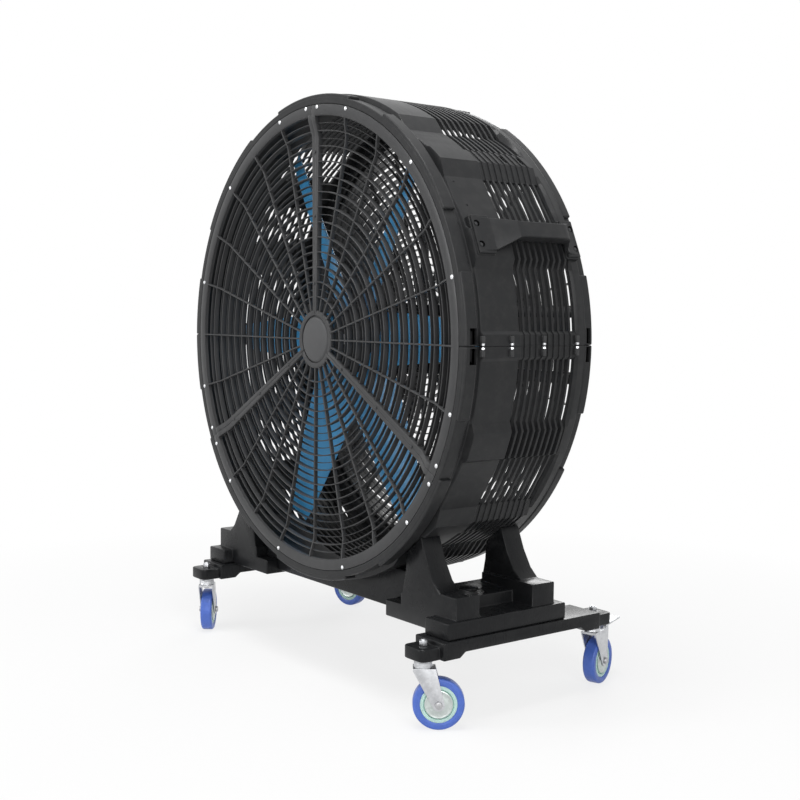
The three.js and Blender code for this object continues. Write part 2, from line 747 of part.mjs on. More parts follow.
// Points along the drum's seat between two angles from its bottom. The chords stay outside the drum.
function seatArc(side, from, to, steps) {
  const halfStep = rad(Math.abs(to - from) / steps / 2);
  const radius = seatRadius / Math.cos(halfStep);
  return Array.from({ length: steps + 1 }, (_, k) => {
    const angle = rad(THREE.MathUtils.lerp(from, to, k / steps));
    return [side * radius * Math.sin(angle), axisHeight - radius * Math.cos(angle)];
  });
}

// The inner edge of a tower, from its foot up to the saddle.
function towerInnerEdge(side) {
  const [top] = seatArc(side, SADDLE_INNER_ANGLE, SADDLE_OUTER_ANGLE, SADDLE_STEPS);
  const footX = side * (saddleX - TOWER_FOOT_IN);
  const neckX = THREE.MathUtils.lerp(footX, top[0], TOWER_NECK_IN);
  const neckZ = THREE.MathUtils.lerp(blockTop, top[1], TOWER_NECK_UP);
  return { foot: [footX, slabTop], neck: [neckX, neckZ], top };
}

function tower(side, front) {
  const x = (outset) => side * (saddleX + outset);
  const { foot, neck } = towerInnerEdge(side);
  const seat = seatArc(side, SADDLE_INNER_ANGLE, SADDLE_OUTER_ANGLE, SADDLE_STEPS);
  const shape = outline([[foot[0], slabBottom], foot, neck, ...seat]);
  shape.quadraticCurveTo(x(TOWER_FLARE), blockTop + TOWER_FLARE / 2, x(TOWER_FOOT_OUT), blockTop);
  shape.lineTo(x(BLOCK_OUTREACH), blockTop);
  shape.lineTo(x(BLOCK_OUTREACH), slabBottom);
  return drawnAlongY(shape, front, front + TOWER_DEPTH);
}

function sideFrame(side) {
  const x = (outset) => side * (saddleX + outset);
  const slab = box([x(-SLAB_INREACH), x(SLAB_OUTREACH)], [FRAME_FRONT, frameBack], [slabBottom, slabTop]);
  const step = box(
    [x(SLAB_OUTREACH - STEP_WIDTH), x(SLAB_OUTREACH)],
    [FRAME_FRONT - STEP_OVERHANG, frameBack + STEP_OVERHANG],
    [slabBottom, slabTop],
  );
  const rearTower = frameBack - TOWER_DEPTH;
  const rearBlock = frameBack - BLOCK_DEPTH;
  const blockX = [x(-BLOCK_INREACH), x(BLOCK_OUTREACH)];
  const platformTop = slabTop + PLATFORM_HEIGHT;
  const bossX = x((PLATFORM_OUTREACH - TOWER_FOOT_IN) / 2);
  const bossTop = platformTop + PLATFORM_BOSS_HEIGHT;
  const boss = turnedUpright(
    [[0, slabTop], [PLATFORM_BOSS_RADIUS, slabTop], [PLATFORM_BOSS_RADIUS, bossTop], [0, bossTop]],
    ROUND_WHEEL,
  );
  return join(
    slab,
    step,
    box(blockX, [FRAME_FRONT, FRAME_FRONT + BLOCK_DEPTH], [slabBottom, blockTop]),
    box(blockX, [rearBlock, frameBack], [slabBottom, blockTop]),
    box([x(-TOWER_FOOT_IN), x(PLATFORM_OUTREACH)], [FRAME_FRONT, frameBack], [slabBottom, platformTop]),
    boss.translate(bossX, (FRAME_FRONT + frameBack) / 2, 0),
    tower(side, FRAME_FRONT),
    tower(side, rearTower),
  );
}

// The beam between the side frames: hollowed for the drum, and shouldered over the slabs' ends.
function crossBeam() {
  const bottom = slabBottom + BEAM_LIFT;
  const shoulder = blockTop + BEAM_SHOULDER;
  const reach = THREE.MathUtils.radToDeg(Math.acos((axisHeight - shoulder) / seatRadius));
  const top = seatArc(1, -reach, reach, BEAM_STEPS);
  const { foot, neck } = towerInnerEdge(1);
  const lean = (neck[0] - foot[0]) / (neck[1] - foot[1]);
  const ledge = slabTop + PLATFORM_HEIGHT + FIT;
  const lowX = saddleX - SLAB_INREACH - FIT;
  const midX = foot[0] - FIT;
  const half = [
    [lowX, bottom],
    [lowX, slabTop + FIT],
    [midX, slabTop + FIT],
    [midX, ledge],
    [midX + lean * (shoulder - ledge), shoulder],
  ];
  const left = half.map(([x, z]) => [-x, z]).reverse();
  const front = FRAME_FRONT + BEAM_SETBACK;
  return drawnAlongY(outline([...half, ...top.reverse(), ...left]), front, front + BEAM_DEPTH);
}

// The tool for a stem's hole between two heights.
function stemHole(bottom, top) {
  const bore = boreFor(STEM_DIAMETER, FIT, ROUND_SMALL);
  const [low, high] = [bottom - OVERLAP, top + OVERLAP];
  return turnedUpright([[0, low], [bore, low], [bore, high], [0, high]], ROUND_SMALL);
}

// The end of a rail that a caster is bolted to, drawn in plan with rounded corners.
function foot(from, reach) {
  const half = FOOT_WIDTH / 2;
  const end = from + reach;
  const corner = Math.sign(reach) * FOOT_CORNER;
  const shape = new THREE.Shape();
  shape.moveTo(-half, from - Math.sign(reach) * OVERLAP);
  shape.lineTo(-half, end - corner);
  shape.quadraticCurveTo(-half, end, -half + FOOT_CORNER, end);
  shape.lineTo(half - FOOT_CORNER, end);
  shape.quadraticCurveTo(half, end, half, end - corner);
  shape.lineTo(half, from - Math.sign(reach) * OVERLAP);
  const settings = { depth: FOOT_HEIGHT, bevelEnabled: false, curveSegments: 3 };
  return new THREE.ExtrudeGeometry(shape, settings).translate(0, 0, railBottom);
}

function stemY(rear) {
  return rear ? RAIL_BACK + REAR_STEM_REACH : RAIL_FRONT - FRONT_STEM_REACH;
}

function casterRail(side) {
  const top = railBottom + RAIL_HEIGHT;
  const hollow = railBottom + RAIL_RELIEF;
  const profile = outline([
    [RAIL_FRONT, railBottom],
    [RAIL_FRONT + RAIL_END, railBottom],
    [RAIL_FRONT + RAIL_END + RAIL_CHAMFER, hollow],
    [RAIL_BACK - RAIL_END - RAIL_CHAMFER, hollow],
    [RAIL_BACK - RAIL_END, railBottom],
    [RAIL_BACK, railBottom],
    [RAIL_BACK, top],
    [RAIL_FRONT, top],
  ]);
  const holes = [false, true].map((rear) =>
    stemHole(railBottom, footTop).translate(0, stemY(rear), 0),
  );
  const body = join(
    drawnAlongX(profile, -RAIL_WIDTH / 2, RAIL_WIDTH / 2),
    foot(RAIL_FRONT, -FRONT_FOOT_REACH),
    foot(RAIL_BACK, REAR_FOOT_REACH),
  );
  return cut(body, ...holes).translate(side * railX, 0, 0);
}

// ---- Casters, each in its own frame: the stem is on z, and the wheel trails along x ----

function stem() {
  const shank = STEM_DIAMETER / 2;
  const head = STEM_HEAD_DIAMETER / 2;
  const headTop = crownBottom - FIT;
  const nutBottom = footTop + FIT;
  const nutTop = nutBottom + NUT_HEIGHT;
  const body = turnedUpright(
    [
      [0, headTop - STEM_HEAD_HEIGHT],
      [head, headTop - STEM_HEAD_HEIGHT],
      [head, headTop],
      [shank, headTop],
      [shank, raceTop + FIT],
      [RACE_RADIUS, raceTop + FIT],
      [RACE_RADIUS, stemPlateTop],
      [shank, stemPlateTop],
      [shank, nutTop + STEM_TIP],
      [0, nutTop + STEM_TIP],
    ],
    ROUND_SMALL,
  );
  const corner = NUT_ACROSS_FLATS / Math.sqrt(3);
  const nut = new THREE.CylinderGeometry(corner, corner, nutTop - nutBottom, 6).rotateX(Math.PI / 2);
  return join(body, nut.translate(0, 0, (nutTop + nutBottom) / 2));
}

// One cheek of the fork, with an ear for the pedal's pin where the caster has a brake.
function cheekOutline(braked) {
  const shape = new THREE.Shape();
  shape.moveTo(-CROWN_FRONT, crownBottom);
  shape.lineTo(-CROWN_FRONT, crownTop);
  if (braked) {
    const ear = PEDAL_EAR_RADIUS;
    shape.lineTo(PEDAL_PIVOT_REACH - ear, crownTop);
    shape.lineTo(PEDAL_PIVOT_REACH - ear / 2, pivotHeight + ear);
    shape.lineTo(PEDAL_PIVOT_REACH + ear / 2, pivotHeight + ear);
    shape.lineTo(PEDAL_PIVOT_REACH + ear, pivotHeight - ear);
  } else {
    shape.lineTo(CROWN_BACK, crownTop);
  }
  shape.lineTo(TRAIL + CHEEK_BOSS_RADIUS, wheelRadius);
  shape.absarc(TRAIL, wheelRadius, CHEEK_BOSS_RADIUS, 0, -rad(CHEEK_BOSS_ARC), true);
  return shape;
}

function fork(braked) {
  const outside = cheekInside + CHEEK_THICKNESS;
  const cheeks = [-1, 1].map((side) => {
    const faces = [side * cheekInside, side * outside].sort((a, b) => a - b);
    return drawnAlongY(cheekOutline(braked), ...faces);
  });
  const crown = box([-CROWN_FRONT, CROWN_BACK], [-outside, outside], [crownBottom, crownTop]);
  const race = turnedUpright(
    [[0, crownBottom], [RACE_RADIUS, crownBottom], [RACE_RADIUS, raceTop], [0, raceTop]],
    ROUND_SMALL,
  );
  const pinHole = (diameter, x, z) => {
    const radius = boreFor(diameter, FIT, ROUND_SMALL);
    const length = 2 * (outside + OVERLAP);
    return new THREE.CylinderGeometry(radius, radius, length, ROUND_SMALL).translate(x, 0, z);
  };
  const holes = [stemHole(crownBottom, raceTop), pinHole(AXLE_DIAMETER, TRAIL, wheelRadius)];
  if (braked) holes.push(pinHole(PEDAL_PIN_DIAMETER, PEDAL_PIVOT_REACH, pivotHeight));
  return cut(join(crown, race, ...cheeks), ...holes);
}

function axle() {
  const shank = AXLE_DIAMETER / 2;
  const head = AXLE_HEAD_DIAMETER / 2;
  const inner = cheekInside + CHEEK_THICKNESS + FIT;
  const outer = inner + AXLE_HEAD_HEIGHT;
  return turned(
    [
      [0, -outer],
      [head, -outer],
      [head, -inner],
      [shank, -inner],
      [shank, inner],
      [head, inner],
      [head, outer],
      [0, outer],
    ],
    ROUND_SMALL,
  );
}

function tyre() {
  const half = TYRE_WIDTH / 2;
  const inner = CORE_DIAMETER / 2;
  const shoulder = wheelRadius - TYRE_SHOULDER;
  return turnedRing(
    [
      [inner, -half + TYRE_DRAFT],
      [shoulder, -half],
      [wheelRadius, -half + TYRE_SHOULDER],
      [wheelRadius, half - TYRE_SHOULDER],
      [shoulder, half],
      [inner, half - TYRE_DRAFT],
    ],
    ROUND_WHEEL,
  );
}

function wheelCore() {
  const bore = boreFor(AXLE_DIAMETER, BUSH_PLAY, ROUND_WHEEL / 2);
  const rim = CORE_DIAMETER / 2 - FIT;
  const guard = GUARD_DIAMETER / 2;
  const side = cheekInside - GUARD_SIDE_GAP;
  const rimSide = TYRE_WIDTH / 2 - CORE_RIM_INSET;
  return turnedRing(
    [
      [bore, -side],
      [guard, -side],
      [rim, -rimSide],
      [rim, rimSide],
      [guard, side],
      [bore, side],
    ],
    ROUND_WHEEL / 2,
  );
}

// The brake pedal: a tread on a hinge barrel, a shoe over the tyre, and its pin.
function pedal() {
  const x = PEDAL_PIVOT_REACH;
  const half = cheekInside - FIT;
  const end = PEDAL_REACH + OVERLAP;
  const tread = outline([
    [x, pivotHeight - PEDAL_THICKNESS / 2],
    [PEDAL_REACH, pivotHeight + PEDAL_TIP_RISE - PEDAL_THICKNESS],
    [PEDAL_REACH, pivotHeight + PEDAL_TIP_RISE],
    [x, pivotHeight + PEDAL_THICKNESS / 2],
  ]);
  const arm = common(
    drawnAlongY(tread, -half, half),
    box([x - OVERLAP, end], [-half, half], [0, railBottom]),
  );
  const treadHalf = PEDAL_TREAD_WIDTH / 2;
  const plate = common(
    drawnAlongY(tread, -treadHalf, treadHalf),
    box([x + PEDAL_TREAD_START, end], [-treadHalf, treadHalf], [0, railBottom]),
  );
  const shoeFront = x + SHOE_START;
  const shoe = box(
    [shoeFront, shoeFront + SHOE_LENGTH],
    [-half / 2, half / 2],
    [WHEEL_DIAMETER + SHOE_CLEARANCE, pivotHeight],
  );
  const radius = PEDAL_PIN_DIAMETER / 2;
  const length = 2 * (cheekInside + CHEEK_THICKNESS + OVERLAP);
  const pin = new THREE.CylinderGeometry(radius, radius, length, ROUND_SMALL);
  return join(arm, plate, shoe, pin.translate(x, 0, pivotHeight));
}

// ---- Assembly ----

const assembly = new THREE.Group();

function add(name, geometry, finish, parent = assembly) {
  const mesh = new THREE.Mesh(geometry, new THREE.MeshStandardMaterial(FINISHES[finish]));
  mesh.name = name;
  parent.add(mesh);
  return mesh;
}

add("drum_shell_upper", upperShell(), "moulding");
add("drum_shell_lower", lowerShell(), "moulding");

for (let k = 0; k < GUARD_SEGMENTS; k += 1) {
  add(`front_guard_segment_${k + 1}`, guardSegment(k, FRONT_RING_PITCH, FRONT_SPOKE_ANGLE), "grille");
  const rearSegment = facingBack(guardSegment(k, REAR_RING_PITCH, REAR_SPOKE_ANGLE));
  add(`rear_guard_segment_${k + 1}`, rearSegment, "grille");
}
add("front_guard_plate", guardPlate(), "grille");
add("front_guard_cap", guardCap(), "grille");
add("rear_guard_plate", facingBack(guardPlate()), "grille");

add("motor_housing", motorHousing(), "motor");
add("motor_cover", motorCover(), "motor");
add("motor_plate", motorPlate(), "steel");
add("motor_strut_upper", motorStrut(1), "steel");
add("motor_strut_lower", motorStrut(-1), "steel");

add("motor_shaft", motorShaft(), "steel");
add("propeller_hub", propellerHub(), "motor");
for (let k = 0; k < BLADE_COUNT; k += 1) {
  add(`blade_${k + 1}`, blade(BLADE_START_ANGLE + (k * 360) / BLADE_COUNT), "blade");
}

for (const [name, side] of [["right", 1], ["left", -1]]) {
  const grip = add(`handle_${name}`, handle(), "moulding");
  grip.rotation.y = rad(side * HANDLE_ANGLE);
  grip.position.z = axisHeight;
  add(`side_frame_${name}`, sideFrame(side), "base");
  add(`caster_rail_${name}`, casterRail(side), "base");
}
add("cross_beam", crossBeam(), "base");

for (const { name, side, rear, trailAngle } of CASTERS) {
  const caster = new THREE.Group();
  caster.position.set(side * railX, stemY(rear), 0);
  caster.rotation.z = rad(trailAngle);
  assembly.add(caster);
  add(`${name}_stem`, stem(), "zinc", caster);
  add(`${name}_fork`, fork(rear), "zinc", caster);
  for (const [part, geometry, finish] of [
    ["axle", axle(), "steel"],
    ["tyre", tyre(), "tyre"],
    ["wheel_core", wheelCore(), "core"],
  ]) {
    add(`${name}_${part}`, geometry, finish, caster).position.set(TRAIL, 0, wheelRadius);
  }
  if (rear) add(`${name}_pedal`, pedal(), "steel", caster);
}

// The origin is the middle of the footprint, on the floor.
const middle = new THREE.Box3().setFromObject(assembly, true).getCenter(new THREE.Vector3());
assembly.position.set(-middle.x, -middle.y, 0);

const drumFan = new THREE.Group();
drumFan.add(assembly);

export default drumFan;
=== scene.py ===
"""A drum fan on casters, modelled and dressed round the fixed frame of its parts.

Pieces of the drum are modelled about the drum's axis, with y = 0 at its front face and angles
running clockwise from the top as seen from the front. They are then set in the frame. All sizes
are in metres.
"""

import logging
import math
from dataclasses import dataclass
from enum import Enum
from typing import Callable, Sequence

import bpy
from mathutils import Matrix, Vector


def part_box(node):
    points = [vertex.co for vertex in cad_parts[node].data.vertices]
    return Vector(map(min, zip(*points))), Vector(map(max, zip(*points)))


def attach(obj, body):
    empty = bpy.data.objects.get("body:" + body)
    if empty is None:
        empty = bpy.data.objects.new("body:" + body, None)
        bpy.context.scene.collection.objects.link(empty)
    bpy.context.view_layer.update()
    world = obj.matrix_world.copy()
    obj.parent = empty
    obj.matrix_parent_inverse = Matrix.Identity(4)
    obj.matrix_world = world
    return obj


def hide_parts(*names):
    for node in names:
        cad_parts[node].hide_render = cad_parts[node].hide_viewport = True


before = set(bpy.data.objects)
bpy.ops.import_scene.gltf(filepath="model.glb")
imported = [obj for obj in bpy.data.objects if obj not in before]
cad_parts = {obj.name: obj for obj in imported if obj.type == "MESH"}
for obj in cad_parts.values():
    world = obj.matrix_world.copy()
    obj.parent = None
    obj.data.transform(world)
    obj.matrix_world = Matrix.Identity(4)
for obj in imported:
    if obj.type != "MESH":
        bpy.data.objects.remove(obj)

Piece = bpy.types.Object
Span = tuple[float, float]
Corners = Sequence[Span]  # a section or a profile, as (radius, place along the axis)
Colour = tuple[float, float, float]

LOG = logging.getLogger("drum_fan")
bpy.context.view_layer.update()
MM = 0.001
FIT = 0.3 * MM  # the gap between parts that touch
SIDES = (-1, 1)
HANDLE_ANGLE = 66.9  # degrees from the top of the drum, either way
EYE_FROM_DRUM = Vector((2781.4 * MM, -1812.8 * MM, (999.4 - 914.0) * MM))
WHITE = (1, 1, 1, 1)
CLEAR_RAYS = ("Is Camera Ray", "Is Glossy Ray")  # rays that meet plain white all round
Y_AXIS = Vector((0, 1, 0))
Z_AXIS = Vector((0, 0, 1))


class Side(Enum):
    """The two sides of the fan, as seen from the front."""

    RIGHT = 1
    LEFT = -1

    @property
    def label(self) -> str:
        """The side's name as the frame's parts have it."""
        return self.name.lower()


class Corner(Enum):
    """The four casters: the way each one trails, anticlockwise from +X seen from above."""

    FRONT_RIGHT = 52.7
    FRONT_LEFT = 142.7
    REAR_RIGHT = 109.7
    REAR_LEFT = 195.0

    @property
    def label(self) -> str:
        """The corner's name as the frame's parts have it."""
        return self.name.lower()

    @property
    def braked(self) -> bool:
        """Whether the caster has a brake pedal."""
        return self.name.startswith("REAR")


@dataclass(frozen=True)
class Datum:
    """Where the drum stands in the frame.

    Args:
        front: The point of the drum's axis in the plane of its front face.
    """

    front: Vector

    @classmethod
    def from_frame(cls) -> "Datum":
        """Reads the drum's place from the upper half of its shell."""
        low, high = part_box("drum_shell_upper")
        return cls(Vector(((low.x + high.x) / 2, low.y, low.z - FIT / 2)))

    @property
    def placing(self) -> Matrix:
        """The move from the drum's own axes to the frame's."""
        return Matrix.Translation(self.front)


def on_drum(radius: float, angle: float, y: float) -> Vector:
    """Gives a point about the drum's axis.

    Args:
        radius: Distance from the axis.
        angle: Degrees clockwise from the top, seen from the front.
        y: Distance behind the front face.

    Returns:
        The point, about the drum's axis.
    """
    turn = math.radians(angle)
    return Vector((radius * math.sin(turn), y, radius * math.cos(turn)))


def turned_about_drum(angle: float) -> Matrix:
    """Gives a turn about the drum's axis, clockwise in degrees as seen from the front."""
    return Matrix.Rotation(math.radians(angle), 4, "Y")


def smoothstep(share: float) -> float:
    """Eases a share between 0 and 1."""
    held = min(max(share, 0.0), 1.0)
    return held * held * (3 - 2 * held)


def blend(low: float, high: float, share: float) -> float:
    """Gives the value a share of the way from low to high."""
    return low + (high - low) * share


def in_mm(*corners: Sequence[float]) -> tuple[tuple[float, ...], ...]:
    """Turns corners written in millimetres into metres."""
    return tuple(tuple(value * MM for value in corner) for corner in corners)


def oblong(low: float, high: float, front: float, back: float) -> Corners:
    """Gives the four corners of a section from low to high and from front to back."""
    return [(low, front), (high, front), (high, back), (low, back)]


def mirrored(half: Corners) -> Corners:
    """Closes half a profile with its own mirror image."""
    return [*half, *((radius, -along) for radius, along in reversed(half))]


# ---- Modelling ----


class Bench:
    """Modelling by hand: primitives, edit-mode operators and applied modifiers."""

    WELD = 0.01 * MM
    FLAT = math.radians(1)

    @staticmethod
    def hold(piece: Piece, *others: Piece) -> None:
        """Makes a piece active, and selects it and the others alone.

        Args:
            piece: The piece to make active.
            *others: The pieces to select with it.
        """
        bpy.ops.object.select_all(action="DESELECT")
        for item in (piece, *others):
            item.select_set(True)
        bpy.context.view_layer.objects.active = piece

    @staticmethod
    def named(name: str) -> Piece:
        """Names the active piece.

        Args:
            name: The name for it and its mesh.

        Returns:
            The active piece.
        """
        piece = bpy.context.object
        piece.name = name
        piece.data.name = name
        return piece

    @classmethod
    def added(cls, name: str, primitive: Callable[..., object], **settings: object) -> Piece:
        """Adds a primitive, as a start for shaping.

        Args:
            name: The piece's name.
            primitive: The operator that adds it.
            **settings: The operator's settings.

        Returns:
            The new piece, which alone is selected.
        """
        bpy.ops.object.select_all(action="DESELECT")
        primitive(**settings)
        return cls.named(name)

    @staticmethod
    def shaped(piece: Piece, points: Sequence[Sequence[float]]) -> None:
        """Moves a piece's corners, in their own order, to the points."""
        for corner, point in zip(piece.data.vertices, points):
            corner.co = point

    @classmethod
    def edit(cls, piece: Piece, *steps: Callable[[], object]) -> Piece:
        """Runs edit-mode steps on a piece.

        Args:
            piece: The piece, all of it selected at the start.
            *steps: The steps in order.

        Returns:
            The piece.
        """
        cls.hold(piece)
        bpy.ops.object.mode_set(mode="EDIT")
        bpy.ops.mesh.select_all(action="SELECT")
        for step in steps:
            step()
        bpy.ops.object.mode_set(mode="OBJECT")
        return piece

    @classmethod
    def cleaned(cls, piece: Piece) -> Piece:
        """Merges doubled corners, drops loose edges and turns the faces outwards.

        Args:
            piece: The piece.

        Returns:
            The piece.
        """
        return cls.edit(
            piece,
            lambda: bpy.ops.mesh.remove_doubles(threshold=cls.WELD),
            lambda: bpy.ops.mesh.delete_loose(),
            lambda: bpy.ops.mesh.select_all(action="SELECT"),
            lambda: bpy.ops.mesh.normals_make_consistent(inside=False),
        )

    @classmethod
    def spun(cls, name: str, profile: Corners, steps: int, upright: bool = False) -> Piece:
        """Turns a closed profile all the way round an axis.

        Args:
            name: The piece's name.
            profile: Its corners.
            steps: How many facets go round.
            upright: Whether the axis is Z, and not Y.

        Returns:
            The turned piece.
        """
        circle = bpy.ops.mesh.primitive_circle_add
        piece = cls.added(name, circle, vertices=len(profile), fill_type="NOTHING")
        cls.shaped(piece, [(r, 0, a) if upright else (r, a, 0) for r, a in profile])
        axis = tuple(Z_AXIS if upright else Y_AXIS)
        turn = {"steps": steps, "angle": math.tau, "center": (0, 0, 0), "axis": axis}
        cls.edit(piece, lambda: bpy.ops.mesh.spin(**turn))
        return cls.cleaned(piece)

    @classmethod
    def spun_pair(cls, name: str, profile: Corners, steps: int, upright: bool = False) -> Piece:
        """Turns a profile and its mirror image on the other side of the origin.

        Args:
            name: The piece's name.
            profile: The corners of one of the two.
            steps: How many facets go round.
            upright: Whether the axis is Z, and not Y.

        Returns:
            Both, as one piece.
        """
        sides = [[(r, side * a) for r, a in profile] for side in SIDES]
        return cls.joined(name, [cls.spun(name, corners, steps, upright) for corners in sides])

    @classmethod
    def lofted(cls, name: str, sections: Sequence[Sequence[Vector]]) -> Piece:
        """Stretches a skin over a row of sections and closes its ends.

        Args:
            name: The piece's name.
            sections: Rings of equally many points.

        Returns:
            The lofted piece.
        """
        rings = [[*ring, ring[0]] for ring in sections]
        piece = cls.added(
            name,
            bpy.ops.mesh.primitive_grid_add,
            x_subdivisions=len(rings[0]) - 1,
            y_subdivisions=len(rings) - 1,
        )
        cls.shaped(piece, [point for ring in rings for point in ring])
        cls.cleaned(piece)
        return cls.edit(
            piece,
            lambda: bpy.ops.mesh.fill_holes(sides=0),
            lambda: bpy.ops.mesh.select_all(action="SELECT"),
            lambda: bpy.ops.mesh.normals_make_consistent(inside=False),
        )

    @classmethod
    def block(cls, name: str, low: Sequence[float], high: Sequence[float]) -> Piece:
        """Adds a block between two corners.

        Args:
            name: The piece's name.
            low: The corner with the least coordinates.
            high: The corner with the greatest.

        Returns:
            The block.
        """
        middle = [(a + b) / 2 for a, b in zip(low, high)]
        size = [b - a for a, b in zip(low, high)]
        cube = bpy.ops.mesh.primitive_cube_add
        return cls.settled(cls.added(name, cube, size=1, location=middle, scale=size))

    @classmethod
    def rod(cls, name: str, start: Vector, end: Vector, radius: float, sides: int) -> Piece:
        """Adds a round rod between two points.

        Args:
            name: The piece's name.
            start: The middle of one end.
            end: The middle of the other.
            radius: Its radius.
            sides: How many facets go round.

        Returns:
            The rod.
        """
        along = end - start
        turn = along.to_track_quat("Z", "Y").to_matrix().to_4x4()
        cylinder = bpy.ops.mesh.primitive_cylinder_add
        piece = cls.added(name, cylinder, vertices=sides, radius=radius, depth=along.length)
        return cls.placed(piece, Matrix.Translation((start + end) / 2) @ turn)

    @classmethod
    def settled(cls, piece: Piece) -> Piece:
        """Keeps a piece's place, turn and size in its mesh.

        Args:
            piece: The piece.

        Returns:
            The piece, at the origin.
        """
        cls.hold(piece)
        bpy.ops.object.transform_apply(location=True, rotation=True, scale=True)
        return piece

    @classmethod
    def placed(cls, piece: Piece, placing: Matrix) -> Piece:
        """Moves a piece and keeps the move in its mesh.

        Args:
            piece: The piece.
            placing: The move.

        Returns:
            The piece.
        """
        piece.matrix_world = placing @ piece.matrix_world
        return cls.settled(piece)

    @classmethod
    def modified(cls, piece: Piece, kind: str, **settings: object) -> Piece:
        """Adds a modifier and applies it.

        Args:
            piece: The piece.
            kind: The modifier's type.
            **settings: The modifier's settings.

        Returns:
            The piece.
        """
        modifier = piece.modifiers.new(kind.title(), kind)
        for key, value in settings.items():
            setattr(modifier, key, value)
        cls.hold(piece)
        bpy.ops.object.modifier_apply(modifier=modifier.name)
        return piece

    @classmethod
    def bevelled(
        cls, piece: Piece, width: float, segments: int = 2, limit: float = 30, held: bool = True
    ) -> Piece:
        """Rounds the edges that are sharper than a limit.

        Args:
            piece: The piece.
            width: How far the rounding reaches from an edge.
            segments: Its facets.
            limit: The least angle of an edge that is rounded, in degrees.
            held: Whether the width gives way at short edges.

        Returns:
            The piece.
        """
        return cls.modified(
            piece,
            "BEVEL",
            width=width,
            segments=segments,
            limit_method="ANGLE",
            angle_limit=math.radians(limit),
            use_clamp_overlap=held,
        )

    @classmethod
    def cut(cls, piece: Piece, *tools: Piece) -> Piece:
        """Takes the tools' shapes out of a piece, and removes the tools.

        Args:
            piece: The piece.
            *tools: The shapes to take out of it.

        Returns:
            The piece.
        """
        for tool in tools:
            cls.modified(piece, "BOOLEAN", operation="DIFFERENCE", solver="EXACT", object=tool)
            bpy.data.objects.remove(tool)
        return piece

    @classmethod
    def joined(cls, name: str, pieces: Sequence[Piece]) -> Piece:
        """Joins pieces into one.

        Args:
            name: The name of the whole.
            pieces: One piece or more.

        Returns:
            The whole.
        """
        cls.hold(pieces[0], *pieces[1:])
        if len(pieces) > 1:
            bpy.ops.object.join()
        return cls.named(name)

    @classmethod
    def copied(cls, piece: Piece, name: str, placing: Matrix) -> Piece:
        """Copies a piece with its own mesh, and moves the copy.

        Args:
            piece: The piece.
            name: The copy's name.
            placing: The copy's move.

        Returns:
            The copy.
        """
        cls.hold(piece)
        bpy.ops.object.duplicate()
        return cls.placed(cls.named(name), placing)

    @classmethod
    def set_out(cls, name: str, master: Piece, placings: Sequence[Matrix]) -> Piece:
        """Copies a master to each placing, and removes it.

        Args:
            name: The name of the whole.
            master: The piece to copy.
            placings: Where the copies go.

        Returns:
            The copies, as one piece.
        """
        copies = [cls.copied(master, f"{name}_{i}", at) for i, at in enumerate(placings)]
        bpy.data.objects.remove(master)
        return cls.joined(name, copies)

    @classmethod
    def taken_from(cls, node: str, name: str) -> Piece:
        """Copies a part of the frame as one merged mesh, with flat sides in one face each.

        Args:
            node: The part's name in the frame.
            name: The piece's name.

        Returns:
            The copy.
        """
        piece = bpy.data.objects.new(name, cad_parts[node].data.copy())
        piece.data.name = name
        piece.data.materials.clear()
        bpy.context.scene.collection.objects.link(piece)
        cls.cleaned(piece)
        return cls.edit(piece, lambda: bpy.ops.mesh.dissolve_limited(angle_limit=cls.FLAT))

    @classmethod
    def smoothed(cls, piece: Piece, limit: float) -> None:
        """Shades a piece smooth, but for edges sharper than a limit in degrees."""
        cls.hold(piece)
        bpy.ops.object.shade_smooth_by_angle(angle=math.radians(limit))


# ---- Shader trees ----


class Tap:
    """An output socket of a shader tree. Arithmetic on taps adds Math nodes."""

    def __init__(self, tree: "Tree", socket: bpy.types.NodeSocket | None) -> None:
        """Wraps a socket of a tree, or none for a node that closes it."""
        self.tree = tree
        self.socket = socket

    def __add__(self, other: "Tap | float") -> "Tap":
        """Adds."""
        return self.tree.math("ADD", self, other)

    def __radd__(self, other: float) -> "Tap":
        """Adds to a number."""
        return self.tree.math("ADD", other, self)

    def __sub__(self, other: "Tap | float") -> "Tap":
        """Subtracts."""
        return self.tree.math("SUBTRACT", self, other)

    def __rsub__(self, other: float) -> "Tap":
        """Subtracts from a number."""
        return self.tree.math("SUBTRACT", other, self)

    def __mul__(self, other: "Tap | float") -> "Tap":
        """Multiplies."""
        return self.tree.math("MULTIPLY", self, other)

    def __rmul__(self, other: float) -> "Tap":
        """Multiplies a number."""
        return self.tree.math("MULTIPLY", other, self)


